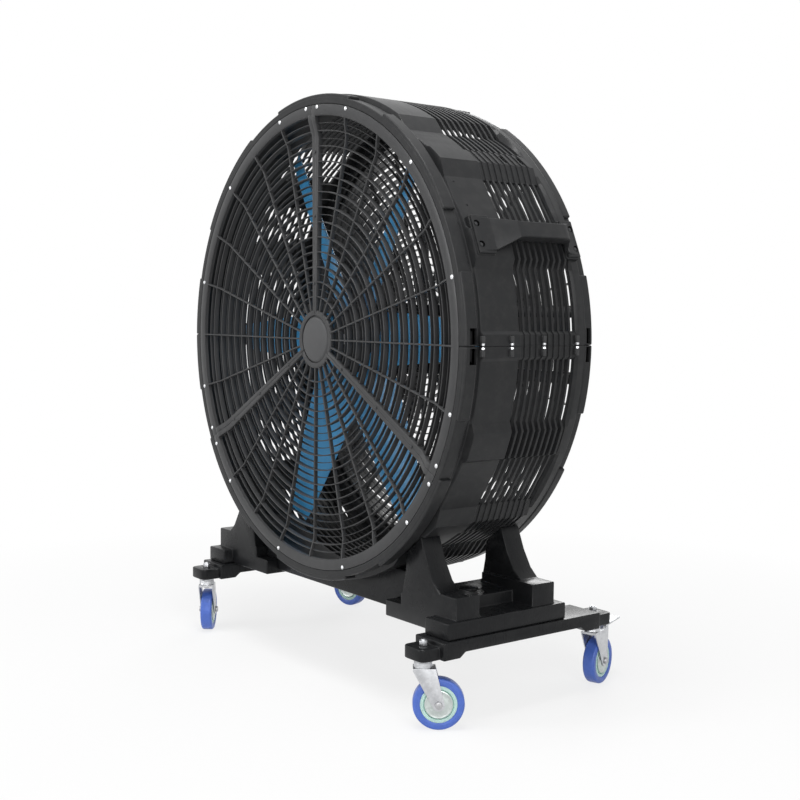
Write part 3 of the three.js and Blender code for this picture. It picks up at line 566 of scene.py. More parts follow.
class Tree:
    """The shader tree of a material or of the world, with one maker for its nodes."""

    def __init__(self, owner: bpy.types.Material | bpy.types.World) -> None:
        """Starts an empty tree.

        Args:
            owner: The material or the world.
        """
        owner.use_nodes = True
        self.owner = owner
        self.nodes = owner.node_tree.nodes
        self.links = owner.node_tree.links
        self.nodes.clear()

    def node(
        self,
        kind: str,
        settings: dict[str, object] | None = None,
        sockets: dict[str | int, object] | None = None,
        output: str | int = 0,
    ) -> Tap:
        """Adds a node.

        Args:
            kind: The node's type, without its ShaderNode prefix.
            settings: Its own settings, set first. "stops" fills a colour ramp.
            sockets: Values or taps for its input sockets.
            output: The output that is wanted.

        Returns:
            A tap of that output.
        """
        made = self.nodes.new(f"ShaderNode{kind}")
        for key, value in (settings or {}).items():
            if key == "stops":
                self._fill_ramp(made.color_ramp, value)
            else:
                setattr(made, key, value)
        for key, value in (sockets or {}).items():
            if isinstance(value, Tap):
                self.links.new(value.socket, made.inputs[key])
            else:
                made.inputs[key].default_value = value
        return Tap(self, made.outputs[output] if made.outputs else None)

    @staticmethod
    def _fill_ramp(ramp: bpy.types.ColorRamp, stops: Sequence[Span]) -> None:
        """Sets a ramp's grey stops.

        Args:
            ramp: The ramp.
            stops: Each stop's place and level.
        """
        while len(ramp.elements) < len(stops):
            ramp.elements.new(0.5)
        for element, (place, level) in zip(ramp.elements, stops):
            element.position = place
            element.color = (level, level, level, 1)

    def math(self, operation: str, first: Tap | float, second: Tap | float) -> Tap:
        """Adds a Math node on two values."""
        return self.node("Math", {"operation": operation}, {0: first, 1: second})

    def place(self, stretch: Sequence[float] = (1, 1, 1)) -> Tap:
        """Gives the point on the piece, stretched along the axes."""
        point = self.node("TexCoord", output="Object")
        return self.node("Mapping", {}, {"Vector": point, "Scale": tuple(stretch)})

    def noise(self, point: Tap, scale: float, detail: float = 3, rough: float = 0.5) -> Tap:
        """Adds a noise of a scale in cells per metre."""
        sockets = {"Vector": point, "Scale": scale, "Detail": detail, "Roughness": rough}
        return self.node("TexNoise", {}, sockets)

    def ramp(self, value: Tap, start: float, end: float, top: float = 1, foot: float = 0) -> Tap:
        """Ramps a value from a foot level at its start to a top level at its end."""
        return self.node("ValToRGB", {"stops": ((start, foot), (end, top))}, {"Fac": value})

    def mix(self, share: Tap | float, first: object, second: object) -> Tap:
        """Mixes two colours."""
        return self.node("Mix", {"data_type": "RGBA"}, {0: share, 6: first, 7: second}, 2)

    def bump(self, height: Tap, strength: float, distance: float) -> Tap:
        """Turns a height into a normal."""
        sockets = {"Strength": strength, "Distance": distance, "Height": height}
        return self.node("Bump", {}, sockets)

    def white_rays(self) -> Tap:
        """Gives 1 on rays that are to meet plain white, and 0 on the others."""
        return self.math("MAXIMUM", *(self.node("LightPath", output=ray) for ray in CLEAR_RAYS))

    def closed(self, surface: Tap) -> bpy.types.Material | bpy.types.World:
        """Closes the tree with its output.

        Args:
            surface: The shader or background.

        Returns:
            The material or the world.
        """
        kind = "World" if isinstance(self.owner, bpy.types.World) else "Material"
        self.node(f"Output{kind}", {}, {"Surface": surface})
        return self.owner


def shade(colour: Colour, level: float) -> tuple[float, float, float, float]:
    """Gives a colour at a level of its own brightness, ready for a socket."""
    red, green, blue = (part * level for part in colour)
    return (red, green, blue, 1.0)


@dataclass(frozen=True)
class Coating:
    """What all the finishes share.

    Args:
        name: The material's name.
        colour: Its colour, linear.
        roughness: How matt it is.
    """

    name: str
    colour: Colour
    roughness: float

    def tinted(self, tree: Tree, share: Tap, levels: Span) -> Tap:
        """Varies the colour between two levels of its own brightness."""
        return tree.mix(share, *(shade(self.colour, level) for level in levels))

    def sockets(self, tree: Tree) -> dict[str, object]:
        """Gives what the shader's sockets hold. Each finish has its own."""
        raise NotImplementedError

    def material(self) -> bpy.types.Material:
        """Builds the material."""
        tree = Tree(bpy.data.materials.new(self.name))
        return tree.closed(tree.node("BsdfPrincipled", {}, self.sockets(tree)))


@dataclass(frozen=True)
class Moulding(Coating):
    """Moulded plastic: an even tone, a fine spark-eroded grain and a little dust.

    Args:
        relief: How strong the grain is.
        dust: How far settled dust lightens it.
        levels: How far the tone varies.
        gloss_swing: How far flow in the mould varies the roughness.
        grain_depth: The grain's depth in metres.
        specular: The strength of its reflections.
        dust_colour: The dust's colour.
        dust_edges: The noise at which dust begins, and at which it lies full.
        dust_roughness: How much duller full dust is.
        cloud_scale: The tone's clouds per metre.
        grain_scale: The grains per metre.
        flow_scale: The flow marks per metre.
        flow_stretch: How they are drawn together along the axes.
        dust_scale: The dust's patches per metre.
    """

    relief: float = 0.25
    dust: float = 0.1
    levels: Span = (0.86, 1.14)
    gloss_swing: float = 0.12
    grain_depth: float = 0.12 * MM
    specular: float = 0.16
    dust_colour: tuple[float, ...] = (0.34, 0.33, 0.31, 1)
    dust_edges: Span = (0.46, 0.78)
    dust_roughness: float = 0.6
    cloud_scale: float = 5
    grain_scale: float = 1400
    flow_scale: float = 16
    flow_stretch: Sequence[float] = (1, 5, 1)
    dust_scale: float = 38

    def sockets(self, tree: Tree) -> dict[str, object]:
        """Varies the tone in clouds, and settles dust in patches.

        Args:
            tree: The material's tree.

        Returns:
            The shader's sockets.
        """
        point = tree.place()
        cloud = tree.noise(point, self.cloud_scale, detail=4)
        grain = tree.noise(point, self.grain_scale, detail=2, rough=0.6)
        flow = tree.noise(tree.place(self.flow_stretch), self.flow_scale)
        patches = tree.noise(point, self.dust_scale, detail=6, rough=0.65)
        settled = tree.ramp(patches, *self.dust_edges)
        plain = self.tinted(tree, cloud, self.levels)
        glossiest = self.roughness - self.gloss_swing / 2
        dulled = settled * (self.dust_roughness * self.dust)
        return {
            "Base Color": tree.mix(settled * self.dust, plain, self.dust_colour),
            "Roughness": glossiest + self.gloss_swing * flow + dulled,
            "Normal": tree.bump(grain, self.relief, self.grain_depth),
            "Specular IOR Level": self.specular,
        }


@dataclass(frozen=True)
class BladePlastic(Coating):
    """Glossy filled plastic of the blades, with flow marks along the mould.

    Args:
        levels: How far the tone varies.
        flow_roughness: How far the flow marks dull the gloss.
        ripple: The strength of the ripple.
        ripple_depth: Its depth in metres.
        flow_scale: The flow marks per metre.
        flow_stretch: How they are drawn out along the axes.
        ripple_scale: The ripples per metre.
    """

    levels: Span = (0.82, 1.2)
    flow_roughness: float = 0.14
    ripple: float = 0.12
    ripple_depth: float = 0.4 * MM
    flow_scale: float = 9
    flow_stretch: Sequence[float] = (1, 0.4, 1)
    ripple_scale: float = 60

    def sockets(self, tree: Tree) -> dict[str, object]:
        """Draws the flow marks out along the mould, over a slight ripple.

        Args:
            tree: The material's tree.

        Returns:
            The shader's sockets.
        """
        flow = tree.noise(tree.place(self.flow_stretch), self.flow_scale, detail=5, rough=0.6)
        waves = tree.noise(tree.place(), self.ripple_scale, detail=2)
        return {
            "Base Color": self.tinted(tree, flow, self.levels),
            "Roughness": self.roughness + self.flow_roughness * flow,
            "Normal": tree.bump(waves, self.ripple, self.ripple_depth),
        }


@dataclass(frozen=True)
class PlatedMetal(Coating):
    """Plated or bare steel: spangles, rolling scratches and dull patches.

    Args:
        spangle: The size of a crystal in metres.
        levels: How far the crystals' tone varies.
        patch_level: The tone of a dull patch.
        patch_share: How far a patch covers the crystals.
        scratch: The strength of the scratches.
        scratch_depth: Their depth in metres.
        scratch_scale: The scratches per metre.
        scratch_stretch: How they are drawn together along the axes.
        patch_scale: The dull patches per metre.
        patch_edges: The noise at which a patch begins, and at which it is full.
        patch_roughness: How much duller a patch is.
        patch_cover: How far a patch hides the metal.
        facet_roughness: How much duller the palest crystal is.
    """

    spangle: float = 6 * MM
    levels: Span = (0.85, 1.05)
    patch_level: float = 0.6
    patch_share: float = 0.35
    scratch: float = 0.08
    scratch_depth: float = 0.05 * MM
    scratch_scale: float = 260
    scratch_stretch: Sequence[float] = (12, 1, 1)
    patch_scale: float = 55
    patch_edges: Span = (0.4, 0.7)
    patch_roughness: float = 0.15
    patch_cover: float = 0.25
    facet_roughness: float = 0.1

    def sockets(self, tree: Tree) -> dict[str, object]:
        """Tones each crystal by itself, and dulls the metal in patches.

        Args:
            tree: The material's tree.

        Returns:
            The shader's sockets.
        """
        point = tree.place()
        cells = {"Vector": point, "Scale": 1 / self.spangle}
        facet = tree.node("RGBToBW", {}, {"Color": tree.node("TexVoronoi", {}, cells, "Color")})
        rolled = tree.noise(tree.place(self.scratch_stretch), self.scratch_scale)
        patches = tree.noise(point, self.patch_scale, detail=5, rough=0.6)
        patch = tree.ramp(patches, *self.patch_edges)
        tone = self.tinted(tree, facet, self.levels)
        dull = shade(self.colour, self.patch_level)
        uneven = self.roughness + self.facet_roughness * facet
        return {
            "Base Color": tree.mix(patch * self.patch_share, tone, dull),
            "Roughness": uneven + self.patch_roughness * patch,
            "Metallic": 1 - self.patch_cover * patch,
            "Normal": tree.bump(rolled, self.scratch, self.scratch_depth),
        }


@dataclass(frozen=True)
class Enamel(Coating):
    """Sprayed enamel on the motor: orange peel under a soft gloss.

    Args:
        levels: How far the tone varies.
        cloud_roughness: How far the clouds dull the gloss.
        peel: The strength of the orange peel.
        peel_depth: Its depth in metres.
        cloud_scale: The clouds per metre.
        peel_scale: The dimples per metre.
    """

    levels: Span = (0.85, 1.2)
    cloud_roughness: float = 0.1
    peel: float = 0.2
    peel_depth: float = 0.1 * MM
    cloud_scale: float = 12
    peel_scale: float = 420

    def sockets(self, tree: Tree) -> dict[str, object]:
        """Varies tone and gloss in the same clouds, over the orange peel.

        Args:
            tree: The material's tree.

        Returns:
            The shader's sockets.
        """
        point = tree.place()
        cloud = tree.noise(point, self.cloud_scale, detail=4)
        dimples = tree.noise(point, self.peel_scale, detail=2)
        return {
            "Base Color": self.tinted(tree, cloud, self.levels),
            "Roughness": self.roughness + self.cloud_roughness * cloud,
            "Normal": tree.bump(dimples, self.peel, self.peel_depth),
        }


@dataclass(frozen=True)
class Urethane(Coating):
    """Cast urethane of the tyres: clean and soft, scuffed and dusty at the tread.

    Args:
        scuff: How far scuffs dull the colour.
        levels: How far the tone varies.
        scuff_level: The tone of a scuff.
        scuff_roughness: How much duller a scuff is.
        scuff_relief: The strength of a scuff's relief.
        scuff_depth: Its depth in metres.
        scuff_edges: The noise at which a scuff begins, and at which it is full.
        scuff_scale: The scuffs per metre.
        cloud_scale: The tone's clouds per metre.
    """

    scuff: float = 0.35
    levels: Span = (0.88, 1.12)
    scuff_level: float = 0.55
    scuff_roughness: float = 0.18
    scuff_relief: float = 0.1
    scuff_depth: float = 0.1 * MM
    scuff_edges: Span = (0.5, 0.72)
    scuff_scale: float = 170
    cloud_scale: float = 30

    def sockets(self, tree: Tree) -> dict[str, object]:
        """Clouds the tone and scuffs it in small marks.

        Args:
            tree: The material's tree.

        Returns:
            The shader's sockets.
        """
        point = tree.place()
        rubbed = tree.noise(point, self.scuff_scale, detail=6, rough=0.7)
        marks = tree.ramp(rubbed, *self.scuff_edges)
        tone = self.tinted(tree, tree.noise(point, self.cloud_scale, detail=4), self.levels)
        dull = shade(self.colour, self.scuff_level)
        return {
            "Base Color": tree.mix(marks * self.scuff, tone, dull),
            "Roughness": self.roughness + self.scuff_roughness * marks,
            "Normal": tree.bump(marks, self.scuff_relief, self.scuff_depth),
        }


class Finish(Enum):
    """The fan's finishes, each with the material slot of the record that it stands for."""

    SHELL = ("moulding", Moulding("shell_plastic", (0.021, 0.0215, 0.0225), 0.36, 0.2, 0.03))
    GRILLE = ("grille", Moulding("grille_plastic", (0.052, 0.0525, 0.054), 0.32, 0.12, 0.03))
    CAP = ("grille", Moulding("cap_plastic", (0.075, 0.076, 0.078), 0.42, 0.12, 0.02))
    BASE = ("base", Moulding("base_plastic", (0.010, 0.0105, 0.0115), 0.28, 0.3, 0.02))
    BLADE = ("blade", BladePlastic("blade_plastic", (0.060, 0.31, 0.60), 0.32))
    MOTOR = ("motor", Enamel("motor_enamel", (0.02, 0.021, 0.023), 0.4))
    ZINC = ("zinc", PlatedMetal("zinc_plate", (0.62, 0.63, 0.65), 0.3))
    STEEL = ("steel", PlatedMetal("bare_steel", (0.5, 0.5, 0.51), 0.28, 2 * MM))
    BOLT = ("steel", PlatedMetal("bright_bolts", (0.85, 0.86, 0.88), 0.22, 1.5 * MM))
    TYRE = ("tyre", Urethane("tyre_urethane", (0.075, 0.155, 0.56), 0.36))
    CORE = ("core", Urethane("core_nylon", (0.52, 0.74, 0.67), 0.45, 0.08))
    CORE_DISC = ("core", PlatedMetal("guard_disc", (0.58, 0.63, 0.61), 0.34))

    @property
    def slot(self) -> str:
        """The record's material slot."""
        return self.value[0]

    def dress(self, piece: Piece) -> None:
        """Gives a piece this finish in place of what it has.

        Args:
            piece: A new piece, or a part of the frame.
        """
        made = bpy.data.materials.get(self.value[1].name) or self.value[1].material()
        if piece.material_slots:
            for held in piece.material_slots:
                held.material = made
        else:
            piece.data.materials.append(made)


class Workshop:
    """Hands finished pieces over to the frame and keeps count of them."""

    def __init__(self, datum: Datum) -> None:
        """Starts with the drum's place."""
        self.datum = datum
        self.count = 0

    def deliver(
        self,
        piece: Piece,
        finish: Finish,
        body: str = "base",
        replaces: Sequence[str] = (),
        on_drum_axes: bool = True,
        limit: float = 35,
    ) -> None:
        """Sets a piece in the frame.

        Args:
            piece: The finished piece.
            finish: Its finish.
            body: The body that it moves with.
            replaces: The parts of the frame that it stands for.
            on_drum_axes: Whether it was modelled about the drum's axis.
            limit: Edges sharper than this, in degrees, are shaded sharp.
        """
        if on_drum_axes:
            Bench.placed(piece, self.datum.placing)
        Bench.smoothed(piece, limit)
        finish.dress(piece)
        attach(piece, body)
        if replaces:
            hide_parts(*replaces)
        self.count += 1
        LOG.info("%s: %d faces on %s", piece.name, len(piece.data.polygons), body)

    def refine(
        self,
        node: str,
        name: str,
        finish: Finish,
        width: float,
        body: str = "base",
        segments: int = 2,
        held: bool = True,
    ) -> None:
        """Delivers a copy of a part of the frame in its stead, with its edges rounded.

        Args:
            node: The part's name in the frame.
            name: The piece's name.
            finish: Its finish.
            width: How far the rounding reaches from an edge.
            body: The body that it moves with.
            segments: The rounding's facets.
            held: Whether the width gives way at short edges.
        """
        piece = Bench.bevelled(Bench.taken_from(node, name), width, segments, held=held)
        self.deliver(piece, finish, body, [node], on_drum_axes=False)


# ---- The drum ----


@dataclass
class Barrel:
    """The two halves of the drum's shell, with their end rings.

    The outside follows flat panels, pads and ridges round the drum, the same on both sides and
    in both halves.
    """

    depth: float = 410 * MM
    wall: float = 7 * MM
    front_band: Span = (36 * MM, 167 * MM)
    rear_band: Span = (352 * MM, 386 * MM)
    rear_band_radius: float = 649 * MM
    rear_rise: float = 9 * MM
    rear_fall: float = 3 * MM
    groove: float = 4 * MM
    groove_width: float = 9 * MM
    collar_edge: float = 1.5 * MM
    slot_count: int = 10
    slot_pitch: float = 19 * MM
    slot_width: float = 12 * MM
    rib_edge: float = 0.9 * MM
    fill_sink: float = 3 * MM
    ring_depth: float = 36 * MM
    rear_ring_depth: float = 27 * MM
    ring_radius: float = 640 * MM
    ring_inside: float = 621.4 * MM
    ring_edge: float = 4 * MM
    ledge_inside: float = 602 * MM
    ledge_front: float = 6.3 * MM
    lip_radius: float = 648 * MM
    lip_root: float = 632 * MM
    lip_middles: tuple[float, ...] = (-90, -45, 0, 45, 90)
    lip_half_angle: float = 15.5
    lip_inset: float = 0.6 * MM
    lip_gap: float = 1.2 * MM
    front_pocket: Span = (12 * MM, 32 * MM)
    rear_pocket: Span = (389 * MM, 402 * MM)
    pocket_heights: Span = (4 * MM, 42 * MM)
    pocket_radii: Span = (631 * MM, 649 * MM)
    hole_places: Span = (266 * MM, 323 * MM)
    hole_radius: float = 7.5 * MM
    hole_reach: Span = (-2 * MM, 9 * MM)
    hole_angles: tuple[float, ...] = (44.4, 45.2, 46.0)
    boss_reaches: tuple[Span, ...] = ((53 * MM, 108 * MM), (338 * MM, 383 * MM))
    boss_half_width: float = 50.5 * MM
    boss_radii: Span = (634 * MM, 659 * MM)
    boss_edge: float = 3 * MM
    seam_gap_angle: float = 0.015
    bolt_radius: float = 654 * MM
    bolt_places: tuple[float, ...] = (45 * MM, 135 * MM, 239 * MM, 350 * MM)
    screw_places: tuple[Span, ...] = ((52.8, 69 * MM), (58.9, 80 * MM))
    finest_step: float = 2.0
    sharp_limit: float = 12

    # Profiles of the fasteners, and the corners of the seams' posts and of the gap in them.
    nut: Corners = in_mm((0, 2), (4.6, 2), (5.2, 3), (5.2, 7), (0, 8))
    screw: Corners = in_mm((0, -1.6), (2.4, -1.3), (3.4, 0), (3.4, 3), (0, 3))
    post: Sequence[Sequence[float]] = in_mm((-5, -5, -24), (3.5, 5, 24))
    post_gap: Sequence[Sequence[float]] = in_mm((-9, -9, -8), (9, 9, 8))
    post_edge: float = 1.2 * MM

    # Breaks of the outside, as (degrees from the top or bottom, radius).
    outside: tuple[Span, ...] = (
        (0, 652 * MM),
        (29.3, 650 * MM),
        (34, 633 * MM),
        (42.2, 645 * MM),
        (43, 651 * MM),
        (47.5, 659 * MM),
        (51.5, 643 * MM),
        (57, 640 * MM),
        (64.7, 646 * MM),
        (65.6, 658 * MM),
        (71.8, 658 * MM),
        (73.6, 643 * MM),
        (86.9, 644 * MM),
        (87.6, 651 * MM),
        (90, 651 * MM),
    )
    # Stretches where the slots are closed behind the ribs.
    fills: tuple[Span, ...] = ((0, 2.5), (42.2, 51.5), (86.9, 90))

    @property
    def edge(self) -> float:
        """A half's last angle, a hair short of the seam."""
        return 90 - self.seam_gap_angle

    def radius_at(self, angle: float) -> float:
        """Gives the outside's radius.

        Args:
            angle: Degrees from the top or bottom, either way.

        Returns:
            The radius.
        """
        away = abs(angle)
        for (from_angle, low), (to_angle, high) in zip(self.outside, self.outside[1:]):
            if away <= to_angle:
                return blend(low, high, (away - from_angle) / (to_angle - from_angle))
        return self.outside[-1][1]

    def inside_at(self, angle: float) -> float:
        """Gives the inside's radius at degrees from the top or bottom, either way."""
        return min(self.radius_at(angle), self.ring_radius) - self.wall

    def angles(self, start: float, end: float) -> list[float]:
        """Lists the angles of a band's sections, through every break of the outside.

        Args:
            start: The first angle.
            end: The last angle.

        Returns:
            The angles in order.
        """
        breaks = {side * angle for angle, _ in self.outside for side in SIDES}
        marks = sorted({start, end, *(b for b in breaks if start < b < end)})
        listed = [marks[0]]
        for low, high in zip(marks, marks[1:]):
            steps = max(1, math.ceil((high - low) / self.finest_step))
            listed += [blend(low, high, k / steps) for k in range(1, steps + 1)]
        return listed

    def band(
        self,
        name: str,
        section: Callable[[float], Corners],
        start: float | None = None,
        end: float | None = None,
    ) -> Piece:
        """Lofts a band, round a whole half of the drum unless its ends are given.

        Args:
            name: The piece's name.
            section: Gives the corners at an angle.
            start: The first angle.
            end: The last angle.

        Returns:
            The band, centred on the top of the drum.
        """
        first = -self.edge if start is None else start
        last = self.edge if end is None else end
        angles = self.angles(first, last)
        rings = [[on_drum(r, angle, y) for r, y in section(angle)] for angle in angles]
        return Bench.lofted(name, rings)

    def ribs(self) -> Piece:
        """Makes the ribs between the slots.

        Returns:
            All the ribs of a half.
        """
        front = self.front_band[1] + self.slot_width
        back = front + (self.slot_pitch - self.slot_width)

        def section(angle: float) -> Corners:
            """Gives the first rib's corners at an angle."""
            return oblong(self.inside_at(angle), self.radius_at(angle), front, back)

        rib = Bench.bevelled(self.band("rib", section), self.rib_edge)
        moves = [Matrix.Translation((0, k * self.slot_pitch, 0)) for k in range(self.slot_count - 1)]
        return Bench.set_out("ribs", rib, moves)

    def closures(self) -> list[Piece]:
        """Makes the walls behind the ribs where the slots are closed.

        Returns:
            A wall for each stretch and side.
        """
        front = self.front_band[1] - MM
        back = self.rear_band[0] + MM

        def section(angle: float) -> Corners:
            """Gives a wall's corners at an angle."""
            sunk = self.radius_at(angle) - self.fill_sink
            return oblong(self.inside_at(angle), sunk, front, back)

        made = []
        for low, high in self.fills:
            for side in SIDES:
                ends = sorted((side * low, side * min(high, self.edge)))
                made.append(self.band("closure", section, *ends))
        return made

    def front_collar(self) -> Piece:
        """Makes the plain band in front of the slots, with a shallow groove at its front.

        Returns:
            The band.
        """
        front, back = self.front_band
        groove = front + self.groove_width

        def section(angle: float) -> Corners:
            """Gives the band's corners.

            Args:
                angle: The angle.

            Returns:
                The corners there.
            """
            radius = self.radius_at(angle)
            inside = self.inside_at(angle)
            low = min(radius, self.ring_radius - self.groove)
            sunk = [(inside, front), (low, front), (low, groove)]
            return [*sunk, (radius, groove + self.groove), (radius, back), (inside, back)]

        return Bench.bevelled(self.band("front_collar", section), self.collar_edge)

    def rear_collar(self) -> Piece:
        """Makes the plain band behind the slots, level all round but for its front edge.

        Returns:
            The band.
        """
        front, back = self.rear_band
        full = self.rear_band_radius

        def section(angle: float) -> Corners:
            """Gives the band's corners.

            Args:
                angle: The angle.

            Returns:
                The corners there.
            """
            inside = self.inside_at(angle)
            start = min(self.radius_at(angle), full)
            rise = [(inside, front), (start, front), (full, front + self.rear_rise)]
            return [*rise, (full - self.rear_fall, back), (inside, back)]

        return Bench.bevelled(self.band("rear_collar", section), self.collar_edge)

    def ring(self, front: float, back: float, facing: int) -> list[Piece]:
        """Makes an end ring and its raised lips.

        Args:
            front: The ring's outer face, as y.
            back: The side that meets the barrel, as y.
            facing: 1 where the outer face is at the front, -1 where it is at the rear.

        Returns:
            The ring, and then the lips from one seam to the other.
        """
        ledge = front + facing * self.ledge_front
        lip_front = front + facing * self.lip_inset
        lip_back = back - facing * self.lip_gap

        outer = [(self.ring_inside, front), (self.ring_radius, front), (self.ring_radius, back)]
        inner = [(self.ledge_inside, back), (self.ledge_inside, ledge), (self.ring_inside, ledge)]

        def ring_section(_: float) -> Corners:
            """Gives the ring's corners, which are the same all round."""
            return [*outer, *inner]

        def lip_section(_: float) -> Corners:
            """Gives a lip's corners, which are the same all along."""
            return oblong(self.lip_root, self.lip_radius, lip_front, lip_back)

        parts = [self.band("end_ring", ring_section)]
        for middle in self.lip_middles:
            low = max(middle - self.lip_half_angle, -self.edge)
            high = min(middle + self.lip_half_angle, self.edge)
            parts.append(self.band("lip", lip_section, low, high))
        return [Bench.bevelled(part, self.ring_edge, 3) for part in parts]

    def pocketed(self, part: Piece, reach: Span) -> None:
        """Cuts the pockets at the seams into a part of an end ring.

        Args:
            part: The ring or a lip.
            reach: The pockets' front and back, as y.
        """
        for side in SIDES:
            across = sorted(side * radius for radius in self.pocket_radii)
            low, high = zip(across, reach, self.pocket_heights)
            Bench.cut(part, Bench.block("pocket", low, high))

    def holes(self) -> list[Piece]:
        """Makes the cutters of the oval holes in the upper pads.

        Returns:
            Three round cutters side by side for each hole.
        """
        made = []
        for y in self.hole_places:
            for side in SIDES:
                for angle in (side * away for away in self.hole_angles):
                    inner = on_drum(self.inside_at(angle) + self.hole_reach[0], angle, y)
                    outer = on_drum(self.radius_at(angle) + self.hole_reach[1], angle, y)
                    made.append(Bench.rod("hole", inner, outer, self.hole_radius, 16))
        return made

    def handle_bosses(self) -> list[Piece]:
        """Makes the blocks under the handles' pads.

        Returns:
            A block for each pad.
        """
        made = []
        for front, back in self.boss_reaches:
            for side in Side:
                low = (-self.boss_half_width, front, self.boss_radii[0])
                high = (self.boss_half_width, back, self.boss_radii[1])
                boss = Bench.bevelled(Bench.block("boss", low, high), self.boss_edge, 3)
                made.append(Bench.placed(boss, turned_about_drum(side.value * HANDLE_ANGLE)))
        return made

    def half(self, name: str, upper: bool) -> Piece:
        """Makes a half of the shell.

        Args:
            name: Its name.
            upper: Whether it is the upper half, and not the lower one, which is turned over.

        Returns:
            The half.
        """
        front_ring = self.ring(0, self.ring_depth, 1)
        rear_ring = self.ring(self.depth, self.depth - self.rear_ring_depth, -1)
        for ring, reach in ((front_ring, self.front_pocket), (rear_ring, self.rear_pocket)):
            for part in (ring[0], ring[1], ring[-1]):
                self.pocketed(part, reach)
        slatted = [self.ribs(), *self.closures()]
        if upper:
            for part in slatted:
                Bench.cut(part, *self.holes())
        parts = [*front_ring, *rear_ring, self.front_collar(), self.rear_collar(), *slatted]
        for part in parts:
            part.name = "part"
        shell = Bench.joined(name, parts)
        if upper:
            return Bench.joined(name, [shell, *self.handle_bosses()])
        return Bench.placed(shell, turned_about_drum(180))

    def bolt_moves(self) -> list[Matrix]:
        """Lists the places of the bolts along the seams."""
        places = [(side * self.bolt_radius, y, 0) for y in self.bolt_places for side in SIDES]
        return [Matrix.Translation(place) for place in places]

    def seam_nuts(self) -> Piece:
        """Makes the nuts above and below the seams."""
        pair = Bench.spun_pair("nut", self.nut, 6, upright=True)
        return Bench.set_out("seam_nuts", pair, self.bolt_moves())

    def seam_posts(self) -> Piece:
        """Makes the moulded posts that the seams' bolts run through.

        Returns:
            All the posts.
        """
        post = Bench.block("post", *self.post)
        Bench.cut(post, Bench.block("gap", *self.post_gap))
        Bench.bevelled(post, self.post_edge)
        return Bench.set_out("seam_posts", post, self.bolt_moves())

    def band_screws(self) -> Piece:
        """Makes the small screws on the front collar.

        Returns:
            All the screws.
        """
        upright = Matrix.Rotation(-math.pi / 2, 4, "X")
        screw = Bench.placed(Bench.spun("screw", self.screw, 12), upright)
        places = []
        for angle, y in self.screw_places:
            at = Matrix.Translation((0, y, self.radius_at(angle)))
            places += [turned_about_drum(side * angle) @ at for side in SIDES]
        return Bench.set_out("band_screws", screw, places)

    def build(self, shop: Workshop) -> None:
        """Makes and delivers both halves and their fasteners.

        Args:
            shop: Where the pieces go.
        """
        for upper, label in ((True, "upper"), (False, "lower")):
            shell = self.half(f"{label}_shell", upper)
            nodes = [f"drum_shell_{label}"]
            shop.deliver(shell, Finish.SHELL, replaces=nodes, limit=self.sharp_limit)
        shop.deliver(self.seam_nuts(), Finish.BOLT)
        shop.deliver(self.seam_posts(), Finish.GRILLE)
        shop.deliver(self.band_screws(), Finish.BASE)


# ---- The guards ----


